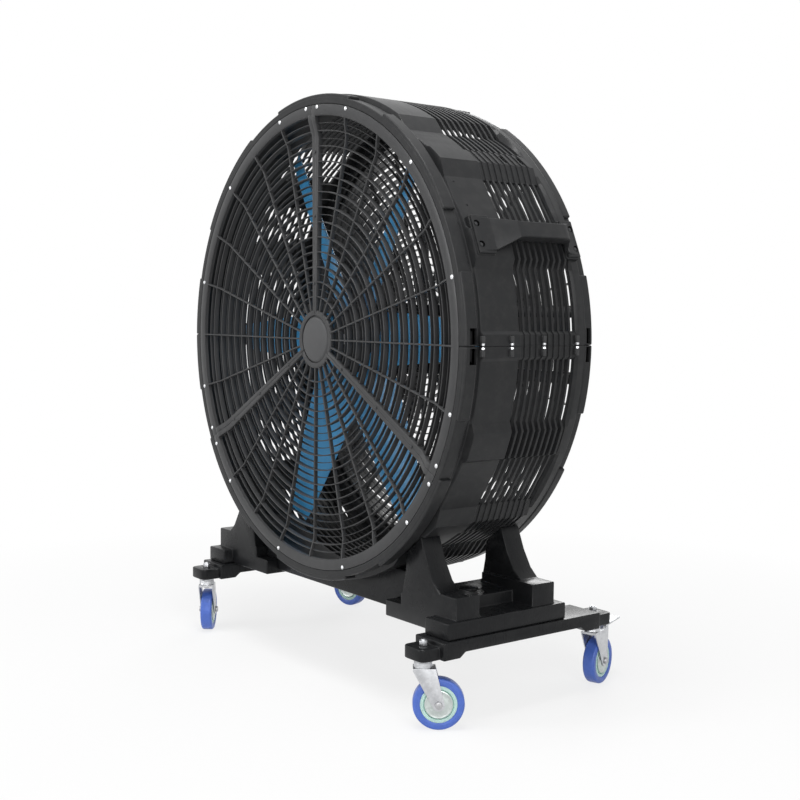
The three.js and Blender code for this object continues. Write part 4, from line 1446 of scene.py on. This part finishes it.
@dataclass
class Guard:
    """A dished guard of three segments, each a third of a turn between seam spokes."""

    flange_radius: float = 621 * MM
    flange_inside: float = 594 * MM
    flange_thickness: float = 6 * MM
    flange_edge: float = 1.2 * MM
    skirt_reach: Span = (-2 * MM, 1.5 * MM)
    recess: float = 14 * MM
    bend: float = 60 * MM
    bar_width: float = 3 * MM
    bar_depth: float = 11 * MM
    nose_share: float = 0.55
    ring_depth: float = 15 * MM
    ring_pitch: float = 39.9 * MM
    ring_count: int = 12
    half_ring_width: float = 2 * MM
    half_ring_share: float = 0.55
    spoke_width: float = 4.4 * MM
    spoke_taper: float = 0.8
    spoke_pitch: float = 15
    seam_root: float = 16 * MM
    seam_rim: float = 32 * MM
    seam_rise: float = 1.5 * MM
    seam_drop: float = 3 * MM
    seam_ease: float = 8 * MM
    seam_edge: float = 1.1 * MM
    hub_radius: float = 78 * MM
    hub_inside: float = 64 * MM
    hub_edge: float = 2.5 * MM
    screw_radius: float = 615 * MM
    screw_pitch: float = 30
    seam_screw_angle: float = 2.5
    seam_bolt_radii: tuple[float, ...] = (150 * MM, 330 * MM, 500 * MM)
    segments: int = 3
    step: float = 2.5

    # Profiles of the screws' and the seam bolts' heads, facing the front at the origin.
    screw: Corners = in_mm(
        (0, -3.4), (1.8, -3.1), (3.2, -2.2), (3.8, -1.1), (5.3, -1.0), (5.5, -0.2), (5.5, 0.6), (0, 0.6)
    )
    seam_bolt: Corners = in_mm((0, -3), (3.4, -2.8), (4, -2), (4, 1), (0, 1))

    @property
    def span(self) -> float:
        """A segment's angle."""
        return 360 / self.segments

    @property
    def seams(self) -> list[float]:
        """The seams' angles."""
        return [k * self.span for k in range(self.segments)]

    def dish(self, radius: float) -> float:
        """Gives how far the guard lies behind its flange at a radius."""
        return self.recess * smoothstep((self.flange_inside - radius) / self.bend)

    def arc(self, name: str, section: Corners) -> Piece:
        """Sweeps a section through a segment's span, short of the seams by half a gap.

        Args:
            name: The piece's name.
            section: Its corners.

        Returns:
            The arc, from the top round to the next seam.
        """
        middle = sum(r for r, _ in section) / len(section)
        spare = math.degrees(FIT / 2 / middle)
        steps = math.ceil(self.span / self.step)
        angles = [blend(spare, self.span - spare, k / steps) for k in range(steps + 1)]
        rings = [[on_drum(r, angle, y) for r, y in section] for angle in angles]
        return Bench.lofted(name, rings)

    def bar(self, middle: float, width: float, front: float, back: float, taper: float) -> Corners:
        """Gives a bar's section, its front edge rounded.

        Args:
            middle: The middle of the bar.
            width: Its width.
            front: Its front edge, as y.
            back: Its back edge, as y.
            taper: Its width at the back, as a share of the width.

        Returns:
            The section's corners.
        """
        half = width / 2
        nose = half * self.nose_share
        foot = half * taper
        face = [(middle - nose, front), (middle + nose, front)]
        back_edge = [(middle + foot, back), (middle - foot, back)]
        return [(middle - half, front + nose), *face, (middle + half, front + nose), *back_edge]

    def ring(self, radius: float, width: float, set_back: float) -> Piece:
        """Makes one ring's bar.

        Args:
            radius: The ring's radius.
            width: The bar's width.
            set_back: How far its front edge lies behind the spokes'.

        Returns:
            The bar.
        """
        front = self.dish(radius)
        section = self.bar(radius, width, front + set_back, front + self.ring_depth, 1)
        return self.arc("ring", section)

    def rays(self, name: str, section: Callable[[float], Corners]) -> Piece:
        """Lofts a bar straight up from the hub to the flange.

        Args:
            name: The piece's name.
            section: Gives the corners, as (x, y), at a radius.

        Returns:
            The bar, with stations close together where the guard bends.
        """
        straight = self.flange_inside - self.bend
        radii = [blend(self.hub_radius - 4 * MM, straight, k / 5) for k in range(5)]
        radii += [blend(straight, self.flange_inside + 3 * MM, k / 8) for k in range(9)]
        rings = [[Vector((x, y, radius)) for x, y in section(radius)] for radius in radii]
        return Bench.lofted(name, rings)

    def spoke(self, angle: float) -> Piece:
        """Makes a thin spoke.

        Args:
            angle: Its angle from the segment's first seam.

        Returns:
            The spoke.
        """

        def section(radius: float) -> Corners:
            """Gives the spoke's corners at a radius."""
            front = self.dish(radius)
            return self.bar(0, self.spoke_width, front, front + self.bar_depth, self.spoke_taper)

        return Bench.placed(self.rays("spoke", section), turned_about_drum(angle))

    def seam_width(self, radius: float) -> float:
        """Gives the width of two joined seam spokes at a radius."""
        share = (radius - self.hub_radius) / (self.flange_inside - self.hub_radius)
        return blend(self.seam_root, self.seam_rim, min(max(share, 0), 1))

    def seam_spoke(self, side: int) -> Piece:
        """Makes half of a seam spoke.

        Args:
            side: 1 or -1, the side of the seam at the top that it lies on.

        Returns:
            The half.
        """

        def section(radius: float) -> Corners:
            """Gives the half's corners.

            Args:
                radius: The radius.

            Returns:
                The corners there.
            """
            behind = self.dish(radius)
            rise = self.seam_rise * smoothstep((self.flange_inside - radius) / self.seam_ease)
            far = side * self.seam_width(radius) / 2
            back = behind + self.bar_depth + self.seam_drop
            return oblong(side * FIT / 2, far, behind - rise, back)

        return Bench.bevelled(self.rays("seam_spoke", section), self.seam_edge)

    def segment(self, name: str) -> Piece:
        """Makes the segment that starts at the top.

        Args:
            name: Its name.

        Returns:
            The segment.
        """
        inside = self.flange_inside
        flange = oblong(inside, self.flange_radius, 0, self.flange_thickness)
        skirt = oblong(*(inside + reach for reach in self.skirt_reach), MM, self.bar_depth)
        hub = oblong(self.hub_inside, self.hub_radius, self.recess, self.recess + self.bar_depth)
        parts = [
            Bench.bevelled(self.arc("flange", flange), self.flange_edge),
            self.arc("skirt", skirt),
            Bench.bevelled(self.arc("hub_ring", hub), self.hub_edge, 3),
        ]
        set_back = self.half_ring_share * self.bar_depth
        for k in range(1, self.ring_count + 1):
            radius = inside - k * self.ring_pitch
            parts.append(self.ring(radius, self.bar_width, 0))
            parts.append(self.ring(radius + self.ring_pitch / 2, self.half_ring_width, set_back))
        spokes = round(self.span / self.spoke_pitch)
        parts += [self.spoke(k * self.spoke_pitch) for k in range(1, spokes)]
        parts.append(self.seam_spoke(1))
        parts.append(Bench.placed(self.seam_spoke(-1), turned_about_drum(self.span)))
        return Bench.joined(name, parts)

    def screw_moves(self) -> list[Matrix]:
        """Lists the screws round the flange.

        Returns:
            The places of the single ones, and then of the pairs at the seams.
        """
        angles = [self.screw_pitch * (k + 0.5) for k in range(round(360 / self.screw_pitch))]
        angles += [seam + side * self.seam_screw_angle for seam in self.seams for side in SIDES]
        return [Matrix.Translation(on_drum(self.screw_radius, angle, 0)) for angle in angles]

    def seam_bolt_moves(self) -> list[Matrix]:
        """Lists the bolts along the seam spokes.

        Returns:
            Their places.
        """
        places = []
        for seam in self.seams:
            for radius in self.seam_bolt_radii:
                places.append(on_drum(radius, seam, self.dish(radius) - self.seam_rise))
        return [Matrix.Translation(place) for place in places]

    def build(self, shop: Workshop, prefix: str, facing: Matrix) -> None:
        """Makes and delivers a guard's segments, screws and bolts.

        Args:
            shop: Where the pieces go.
            prefix: The guard's name in the frame.
            facing: The turn that faces the guard to its side of the drum.
        """
        grilles = [self.segment(f"{prefix}_grille_1")]
        for k, seam in enumerate(self.seams[1:], 2):
            grilles.append(Bench.copied(grilles[0], f"{prefix}_grille_{k}", turned_about_drum(seam)))
        for k, grille in enumerate(grilles, 1):
            Bench.placed(grille, facing)
            shop.deliver(grille, Finish.GRILLE, replaces=[f"{prefix}_segment_{k}"])
        screw = Bench.spun("screw", self.screw, 14)
        screws = Bench.set_out(f"{prefix}_screws", screw, self.screw_moves())
        shop.deliver(Bench.placed(screws, facing), Finish.BOLT)
        bolt = Bench.spun("seam_bolt", self.seam_bolt, 8)
        bolts = Bench.set_out(f"{prefix}_seam_bolts", bolt, self.seam_bolt_moves())
        shop.deliver(Bench.placed(bolts, facing), Finish.MOTOR)


@dataclass
class HubCap:
    """The cap at the middle of the front guard."""

    disc_radius: float = 58 * MM
    rim_radius: float = 63.4 * MM
    face: float = 13.2 * MM
    groove: float = 18.5 * MM
    back: float = 25 * MM
    sides: int = 72
    sharp_limit: float = 50

    def build(self, shop: Workshop) -> None:
        """Makes and delivers the cap.

        Args:
            shop: Where it goes.
        """
        profile = [
            (0, self.face),
            (self.disc_radius - 3 * MM, self.face + 0.4 * MM),
            (self.disc_radius, self.face + 1.2 * MM),
            (self.disc_radius + 1.2 * MM, self.face + 2.6 * MM),
            (self.rim_radius, self.groove),
            (self.rim_radius, self.back),
            (0, self.back),
        ]
        cap = Bench.spun("hub_cap", profile, self.sides)
        shop.deliver(cap, Finish.CAP, replaces=["front_guard_cap"], limit=self.sharp_limit)


# ---- The propeller and its drive ----


@dataclass
class Propeller:
    """Six twisted blades on a hub."""

    blade_count: int = 6
    start_angle: float = 29
    root: float = 92.6 * MM
    tip: float = 608 * MM
    middle: float = 155 * MM
    root_chord: float = 175 * MM
    tip_chord: float = 80 * MM
    root_pitch: float = -26
    tip_pitch: float = -22
    camber: float = 12 * MM
    thickness: float = 5 * MM
    edge_share: float = 0.35
    blade_edge: float = 0.5 * MM
    stations: int = 18
    across: int = 12
    tip_round: float = 0.12
    tip_narrowing: float = 0.16
    bore: float = 14.3 * MM
    hub_radius: float = 92 * MM
    hub_front: float = 115 * MM
    hub_back: float = 195 * MM
    nose_radius: float = 66 * MM
    nose: float = 18 * MM
    hub_sides: int = 48

    def point(self, share: float, across: float, side: float) -> Vector:
        """Gives a point of a blade.

        Args:
            share: From 0 at the hub to 1 at the tip.
            across: From -1 to 1 over the chord.
            side: -1 in front and 1 behind.

        Returns:
            The point about the drum's axis.
        """
        radius = blend(self.root, self.tip, share)
        chord = blend(self.root_chord, self.tip_chord, share)
        corner = max(0.0, (share - (1 - self.tip_round)) / self.tip_round)
        chord *= 1 - self.tip_narrowing * corner**2
        pitch = math.radians(blend(self.root_pitch, self.tip_pitch, share))
        wide = across * chord / 2
        fullness = blend(self.edge_share, 1, math.sqrt(max(0.0, 1 - across**4)))
        bow = self.camber * (1 - across**2) + side * self.thickness / 2 * fullness
        around = wide * math.cos(pitch) - bow * math.sin(pitch)
        along = wide * math.sin(pitch) + bow * math.cos(pitch)
        return on_drum(radius, math.degrees(around / radius), self.middle + along - self.camber / 2)

    def blade(self) -> Piece:
        """Makes the blade that points up.

        Returns:
            The blade.
        """
        places = [2 * k / self.across - 1 for k in range(self.across + 1)]
        rings = []
        for k in range(self.stations + 1):
            share = k / self.stations
            front = [self.point(share, a, -1) for a in places]
            back = [self.point(share, a, 1) for a in reversed(places)]
            rings.append(front + back)
        return Bench.bevelled(Bench.lofted("blade", rings), self.blade_edge, limit=60)

    def hub(self) -> Piece:
        """Makes the hub, with its blunt nose in front.

        Returns:
            The hub.
        """
        shoulder = self.hub_front + self.nose
        profile = [
            (self.bore, self.hub_front),
            (self.nose_radius - 8 * MM, self.hub_front),
            (self.nose_radius, self.hub_front + 2 * MM),
            (self.hub_radius - 3 * MM, shoulder - 2 * MM),
            (self.hub_radius, shoulder + 3 * MM),
            (self.hub_radius, self.hub_back),
            (self.bore, self.hub_back),
        ]
        return Bench.spun("fan_hub", profile, self.hub_sides)

    def build(self, shop: Workshop) -> None:
        """Makes and delivers the blades and their hub.

        Args:
            shop: Where the pieces go.
        """
        master = self.blade()
        for k in range(self.blade_count):
            turn = turned_about_drum(self.start_angle + k * 360 / self.blade_count)
            blade = Bench.copied(master, f"fan_blade_{k + 1}", turn)
            shop.deliver(blade, Finish.BLADE, "propeller", [f"blade_{k + 1}"])
        bpy.data.objects.remove(master)
        shop.deliver(self.hub(), Finish.MOTOR, "propeller", ["propeller_hub"])


@dataclass
class Drive:
    """The motor behind the propeller, on its plate and struts."""

    radius: float = 102 * MM
    front: float = 222.3 * MM
    back: float = 348.4 * MM
    cover_front: float = 206 * MM
    bore: float = 15 * MM
    fin_count: int = 36
    fin_height: float = 6 * MM
    fin_half_width: float = 1.6 * MM
    fin_edge: float = 0.8 * MM
    plate_edge: float = 1.5 * MM
    sides: int = 72

    def housing(self) -> Piece:
        """Makes the finned housing.

        Returns:
            The housing with its fins.
        """
        inner = self.radius - self.fin_height
        body = Bench.spun("housing_body", oblong(0, inner, self.front, self.back), self.sides)
        low = (-self.fin_half_width, self.front + 2 * MM, inner - 2 * MM)
        high = (self.fin_half_width, self.back - 2 * MM, self.radius)
        fin = Bench.bevelled(Bench.block("fin", low, high), self.fin_edge)
        turns = [turned_about_drum(360 * k / self.fin_count) for k in range(self.fin_count)]
        return Bench.joined("finned_housing", [body, Bench.set_out("fins", fin, turns)])

    def cover(self) -> Piece:
        """Makes the cover in front of the housing.

        Returns:
            The cover.
        """
        profile = [
            (self.bore, self.cover_front),
            (self.radius - 30 * MM, self.cover_front),
            (self.radius - 6 * MM, self.cover_front + 5 * MM),
            (self.radius, self.cover_front + 12 * MM),
            (self.radius, self.front - FIT),
            (self.bore, self.front - FIT),
        ]
        return Bench.spun("end_bell", profile, self.sides)

    def build(self, shop: Workshop) -> None:
        """Makes and delivers the motor, and dresses its plate and struts.

        Args:
            shop: Where the pieces go.
        """
        shop.deliver(self.housing(), Finish.MOTOR, replaces=["motor_housing"])
        shop.deliver(self.cover(), Finish.MOTOR, replaces=["motor_cover"])
        for node in ("motor_plate", "motor_strut_upper", "motor_strut_lower"):
            shop.refine(node, f"{node}_bevelled", Finish.BASE, self.plate_edge)


# ---- Handles ----


@dataclass
class Handle:
    """A carrying handle: two bolted pads, flared up to a bar."""

    seat: float = 659.3 * MM
    pad_half_width: float = 48.5 * MM
    pad_thickness: float = 6 * MM
    pad_edge: float = 2 * MM
    half_width: float = 20 * MM
    front_pad: Span = (55 * MM, 106 * MM)
    rear_pad: Span = (340 * MM, 381 * MM)
    grip: Span = (165 * MM, 320 * MM)
    rise: float = 43 * MM
    grip_thickness: float = 27 * MM
    grip_edge: float = 3.5 * MM
    bolt_half_spread: float = 26.5 * MM
    bolt_places: Span = (66 * MM, 371 * MM)
    recess_radius: float = 8.5 * MM
    recess_floor: float = 0.4 * MM
    recess_height: float = 30 * MM
    sharp_limit: float = 15

    # Profile of a bolt head with its washer, standing just clear of the recess's floor.
    bolt: Corners = in_mm((0, 0.5), (6.6, 0.5), (6.6, 1.7), (4.6, 1.8), (4.2, 4.1), (0, 4.5))

    def stations(self) -> list[tuple[float, float, float, float]]:
        """Lists the bar's stations from the front pad to the rear one.

        Returns:
            Each station's y, half width, underside and top.
        """
        top = self.seat + self.rise
        under = top - self.grip_thickness
        low = self.seat + self.pad_thickness
        wide = self.pad_half_width - 3 * MM
        grip = self.half_width
        flare = (blend(wide, grip, 0.55), blend(self.seat, under, 0.62), blend(low, top, 0.55))
        neck = (grip + 2 * MM, under - MM, top - 2 * MM)
        return [
            (self.front_pad[0] + 2 * MM, wide, self.seat, low - MM),
            (self.front_pad[1], wide - 4 * MM, self.seat, low + 3 * MM),
            (self.front_pad[1] + 30 * MM, *flare),
            (self.grip[0] - 4 * MM, *neck),
            (self.grip[0] + 12 * MM, grip, under, top),
            (self.grip[1] - 12 * MM, grip, under, top),
            (self.grip[1] + 2 * MM, *neck),
            (self.rear_pad[0] - 8 * MM, wide - 8 * MM, self.seat + 4 * MM, low + 10 * MM),
            (self.rear_pad[0] + 4 * MM, wide - 4 * MM, self.seat, low + 3 * MM),
            (self.rear_pad[1] - 2 * MM, wide, self.seat, low - MM),
        ]

    def bar(self) -> Piece:
        """Lofts the bar from pad to pad, wide at its feet.

        Returns:
            The bar.
        """
        rings = []
        for y, half, under, top in self.stations():
            corners = [(-half, under), (-half, top), (half, top), (half, under)]
            rings.append([Vector((x, y, z)) for x, z in corners])
        return Bench.bevelled(Bench.lofted("bar", rings), self.grip_edge, 3)

    def pads(self) -> list[Piece]:
        """Makes the two pads.

        Returns:
            The front pad and the rear one.
        """
        made = []
        for front, back in (self.front_pad, self.rear_pad):
            low = (-self.pad_half_width, front, self.seat)
            high = (self.pad_half_width, back, self.seat + self.pad_thickness)
            made.append(Bench.bevelled(Bench.block("pad", low, high), self.pad_edge))
        return made

    def recessed(self, part: Piece) -> Piece:
        """Sinks the bolts' recesses into a part of the handle.

        Args:
            part: The bar or a pad.

        Returns:
            The part.
        """
        for move in self.bolt_moves():
            foot = move.translation + Vector((0, 0, self.recess_floor))
            head = foot + Vector((0, 0, self.recess_height))
            Bench.cut(part, Bench.rod("recess", foot, head, self.recess_radius, 20))
        return part

    def bolt_moves(self) -> list[Matrix]:
        """Lists the places of the pads' bolts."""
        spread = [side * self.bolt_half_spread for side in SIDES]
        return [Matrix.Translation((x, y, self.seat)) for y in self.bolt_places for x in spread]

    def build(self, shop: Workshop) -> None:
        """Makes and delivers both handles and their bolts.

        Args:
            shop: Where the pieces go.
        """
        for side in Side:
            turn = turned_about_drum(side.value * HANDLE_ANGLE)
            name = f"carry_handle_{side.label}"
            handle = Bench.joined(name, [self.recessed(p) for p in (self.bar(), *self.pads())])
            Bench.placed(handle, turn)
            nodes = [f"handle_{side.label}"]
            shop.deliver(handle, Finish.SHELL, replaces=nodes, limit=self.sharp_limit)
            bolt = Bench.spun("handle_bolt", self.bolt, 20, upright=True)
            bolts = Bench.set_out(f"handle_bolts_{side.label}", bolt, self.bolt_moves())
            shop.deliver(Bench.placed(bolts, turn), Finish.MOTOR)


# ---- The base ----


@dataclass
class Base:
    """The wheeled base: side frames, cross-beam and caster rails."""

    edge: float = 3.5 * MM
    facets: int = 3

    def build(self, shop: Workshop) -> None:
        """Makes and delivers the base's mouldings.

        Args:
            shop: Where the pieces go.
        """
        mouldings = []
        for side in Side:
            mouldings.append((f"side_frame_{side.label}", f"cradle_{side.label}"))
            mouldings.append((f"caster_rail_{side.label}", f"rail_{side.label}"))
        for node, name in (*mouldings, ("cross_beam", "tie_beam")):
            shop.refine(node, name, Finish.BASE, self.edge, segments=self.facets, held=False)


# ---- The casters ----


@dataclass
class Caster:
    """A caster: its wheel is modelled about its axle, which runs along Y."""

    wheel_radius: float = 62.5 * MM
    tyre_half: float = 17 * MM
    shoulder: float = 6 * MM
    shoulder_angles: tuple[float, ...] = (90, 67.5, 45, 22.5, 0)
    tyre_sides: int = 72
    core_radius: float = 45 * MM
    core_sides: int = 64
    metal_edge: float = 0.8 * MM

    # Half the core's profile up to its rim, and the profile of a disc over one side of it.
    web: Corners = in_mm((7.2, 14), (34.4, 14), (35.0, 10), (36.2, 10), (37, 14.5))
    disc: Corners = in_mm(
        (7.2, 18), (20, 18), (22, 17.2), (30, 16.6), (32, 17.4), (34, 16.4), (34, 14.1), (7.2, 14.1)
    )

    def tyre(self) -> Piece:
        """Spins the tyre, crowned and rounded at its shoulders.

        Returns:
            The tyre.
        """
        half = self.tyre_half
        outer = [(self.core_radius, half - 2 * MM), (self.core_radius + 3 * MM, half - 0.4 * MM)]
        for turn in (math.radians(angle) for angle in self.shoulder_angles):
            radius = self.wheel_radius - self.shoulder * (1 - math.cos(turn))
            outer.append((radius, half - self.shoulder + self.shoulder * math.sin(turn)))
        return Bench.spun("tyre", mirrored(outer), self.tyre_sides)

    def core(self) -> Piece:
        """Spins the wheel's core.

        Returns:
            The core.
        """
        rim = self.core_radius - FIT
        half = [*self.web, (rim - 2 * MM, 15.4 * MM), (rim, 14.6 * MM)]
        return Bench.spun("core", mirrored(half), self.core_sides)

    def place(self, corner: Corner) -> Matrix:
        """Gives a wheel's place.

        Args:
            corner: The caster.

        Returns:
            The move to its axle, with its own axis along Y turned to the trail.
        """
        low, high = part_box(f"{corner.label}_tyre")
        turn = Matrix.Rotation(math.radians(corner.value), 4, "Z")
        return Matrix.Translation((low + high) / 2) @ turn

    def build(self, shop: Workshop) -> None:
        """Makes and delivers the casters.

        Args:
            shop: Where the pieces go.
        """
        covers = Bench.spun_pair("thread_guards", self.disc, self.core_sides)
        masters = (
            (self.tyre(), "tread", Finish.TYRE, ["tyre"]),
            (self.core(), "core", Finish.CORE, ["wheel_core"]),
            (covers, "thread_guards", Finish.CORE_DISC, []),
        )
        for corner in Corner:
            name = corner.label
            place = self.place(corner)
            for master, label, finish, parts in masters:
                piece = Bench.copied(master, f"{name}_{label}", place)
                nodes = [f"{name}_{part}" for part in parts]
                shop.deliver(piece, finish, f"{name}_wheel", nodes, on_drum_axes=False)
            metal = [
                ("fork", "yoke", Finish.ZINC, f"{name}_swivel"),
                ("axle", "axle_bolt", Finish.STEEL, f"{name}_swivel"),
                ("stem", "stem_bolt", Finish.ZINC, "base"),
            ]
            if corner.braked:
                metal.append(("pedal", "brake", Finish.ZINC, f"{name}_pedal"))
            for part, label, finish, body in metal:
                shop.refine(f"{name}_{part}", f"{name}_{label}", finish, self.metal_edge, body)
        for master, *_ in masters:
            bpy.data.objects.remove(master)


# ---- The studio ----


def set_up(name: str, data: bpy.types.ID, placing: Matrix) -> Piece:
    """Adds a lamp or a camera to the scene.

    Args:
        name: Its name.
        data: The lamp's or the camera's own settings.
        placing: Its place and turn.

    Returns:
        The lamp or camera.
    """
    item = bpy.data.objects.new(name, data)
    bpy.context.scene.collection.objects.link(item)
    item.matrix_world = placing
    return item


@dataclass(frozen=True)
class Lamp:
    """A soft rectangular lamp.

    Args:
        name: Its name.
        place: Where it hangs.
        size: Its width and height.
        power: Its power in watts.
    """

    name: str
    place: tuple[float, float, float]
    size: Span
    power: float

    def hang(self, aim: Vector) -> None:
        """Hangs the lamp in the scene.

        Args:
            aim: The point that it faces.
        """
        light = bpy.data.lights.new(self.name, "AREA")
        light.shape = "RECTANGLE"
        light.size, light.size_y = self.size
        light.energy = self.power
        turn = (aim - Vector(self.place)).to_track_quat("-Z", "Y").to_matrix().to_4x4()
        set_up(self.name, light, Matrix.Translation(self.place) @ turn)


@dataclass
class Studio:
    """The floor, the lamps, the white surround and the camera of the photograph."""

    eye: Vector
    yaw: float = 52.700
    dip: float = 4.258
    roll: float = 0.593
    lens: float = 55.27
    film: float = 36
    sight: Span = (0.05, 200)
    floor_half: float = 30.0
    floor_greys: Span = (0.80, 0.84)
    floor_grain: float = 40
    shadow: float = 0.22
    shadow_reach: float = 2.2
    shadow_core: float = 0.3
    surround_level: float = 0.22
    aim: tuple[float, float, float] = (0, 0, 0.8)
    lamps: tuple[Lamp, ...] = (
        Lamp("overhead", (0.6, -0.8, 4.2), (1.7, 1.7), 120),
        Lamp("side", (4.4, -1.4, 2.4), (0.8, 2.4), 55),
        Lamp("front", (-1.6, -4.6, 2.0), (1.2, 1.6), 75),
        Lamp("edge", (3.4, -3.4, 1.6), (0.4, 1.8), 30),
        Lamp("back", (-3.0, 4.2, 2.6), (2.0, 1.6), 60),
    )

    def camera(self) -> None:
        """Sets the camera at the photograph's place and angle."""
        yaw, dip, roll = (math.radians(a) for a in (self.yaw, self.dip, self.roll))
        level = Vector((-math.sin(yaw), math.cos(yaw), 0)) * math.cos(dip)
        forward = level - Z_AXIS * math.sin(dip)
        right = Vector((math.cos(yaw), math.sin(yaw), 0))
        up = right.cross(forward)
        across = math.cos(roll) * right + math.sin(roll) * up
        raised = math.cos(roll) * up - math.sin(roll) * right
        turn = Matrix((across, raised, -forward)).transposed().to_4x4()
        lens = bpy.data.cameras.new("camera")
        lens.lens = self.lens
        lens.sensor_width = self.film
        lens.clip_start, lens.clip_end = self.sight
        bpy.context.scene.camera = set_up("camera", lens, Matrix.Translation(self.eye) @ turn)

    def floor(self) -> None:
        """Lays a pale floor, white to the camera but for a soft shadow painted round the fan's foot, in
        which the lamps' real shadows show.
        """
        plane = bpy.ops.mesh.primitive_plane_add
        floor = Bench.settled(Bench.added("floor", plane, size=2 * self.floor_half))
        tree = Tree(bpy.data.materials.new("pale_floor"))
        greys = [(grey, grey, grey, 1) for grey in self.floor_greys]
        tint = tree.mix(tree.noise(tree.place(), self.floor_grain), *greys)
        matt = tree.node("BsdfDiffuse", {}, {"Color": tint})
        white = tree.node("Emission", {}, {"Color": WHITE, "Strength": 1.0})
        # More of the lit floor shows near the fan: a painted soft shadow round its foot, with the real
        # shadows within it.
        away = tree.node("VectorMath", {"operation": "LENGTH"}, {0: tree.place()}, "Value")
        share = away * (1 / self.shadow_reach)
        painted_shadow_share = tree.ramp(share, self.shadow_core, 1.0, top=0, foot=self.shadow)
        clear = tree.white_rays() * (1 - painted_shadow_share)
        shown = tree.node("MixShader", {}, {0: clear, 1: matt, 2: white})
        floor.data.materials.append(tree.closed(shown))

    def surround(self) -> None:
        """Sets a world of soft light that is white where it is seen."""
        world = bpy.data.worlds.new("surround")
        bpy.context.scene.world = world
        tree = Tree(world)
        levels = {"Value": tree.white_rays(), "To Min": self.surround_level, "To Max": 1.0}
        strength = tree.node("MapRange", {}, levels)
        tree.closed(tree.node("Background", {}, {"Color": WHITE, "Strength": strength}))

    def build(self) -> None:
        """Sets up the whole studio."""
        bpy.context.scene.view_settings.view_transform = "Standard"
        self.camera()
        self.floor()
        self.surround()
        for lamp in self.lamps:
            lamp.hang(Vector(self.aim))


def main() -> None:
    """Builds the fan's classes in order, and the studio round them."""
    logging.basicConfig(level=logging.INFO, format="%(message)s")
    datum = Datum.from_frame()
    shop = Workshop(datum)
    Studio(datum.front + EYE_FROM_DRUM).build()
    barrel = Barrel()
    barrel.build(shop)
    facing_back = Matrix.Translation((0, barrel.depth, 0)) @ Matrix.Rotation(math.pi, 4, "Z")
    Guard().build(shop, "front_guard", Matrix.Identity(4))
    Guard(ring_depth=23 * MM, half_ring_width=3 * MM).build(shop, "rear_guard", facing_back)
    for assembly in (HubCap(), Propeller(), Drive(), Handle(), Base(), Caster()):
        assembly.build(shop)
    for node, finish in (
        ("front_guard_plate", Finish.GRILLE),
        ("rear_guard_plate", Finish.GRILLE),
        ("motor_shaft", Finish.STEEL),
    ):
        finish.dress(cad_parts[node])
    LOG.info("%d pieces made", shop.count)


if __name__ == "__main__":
    main()
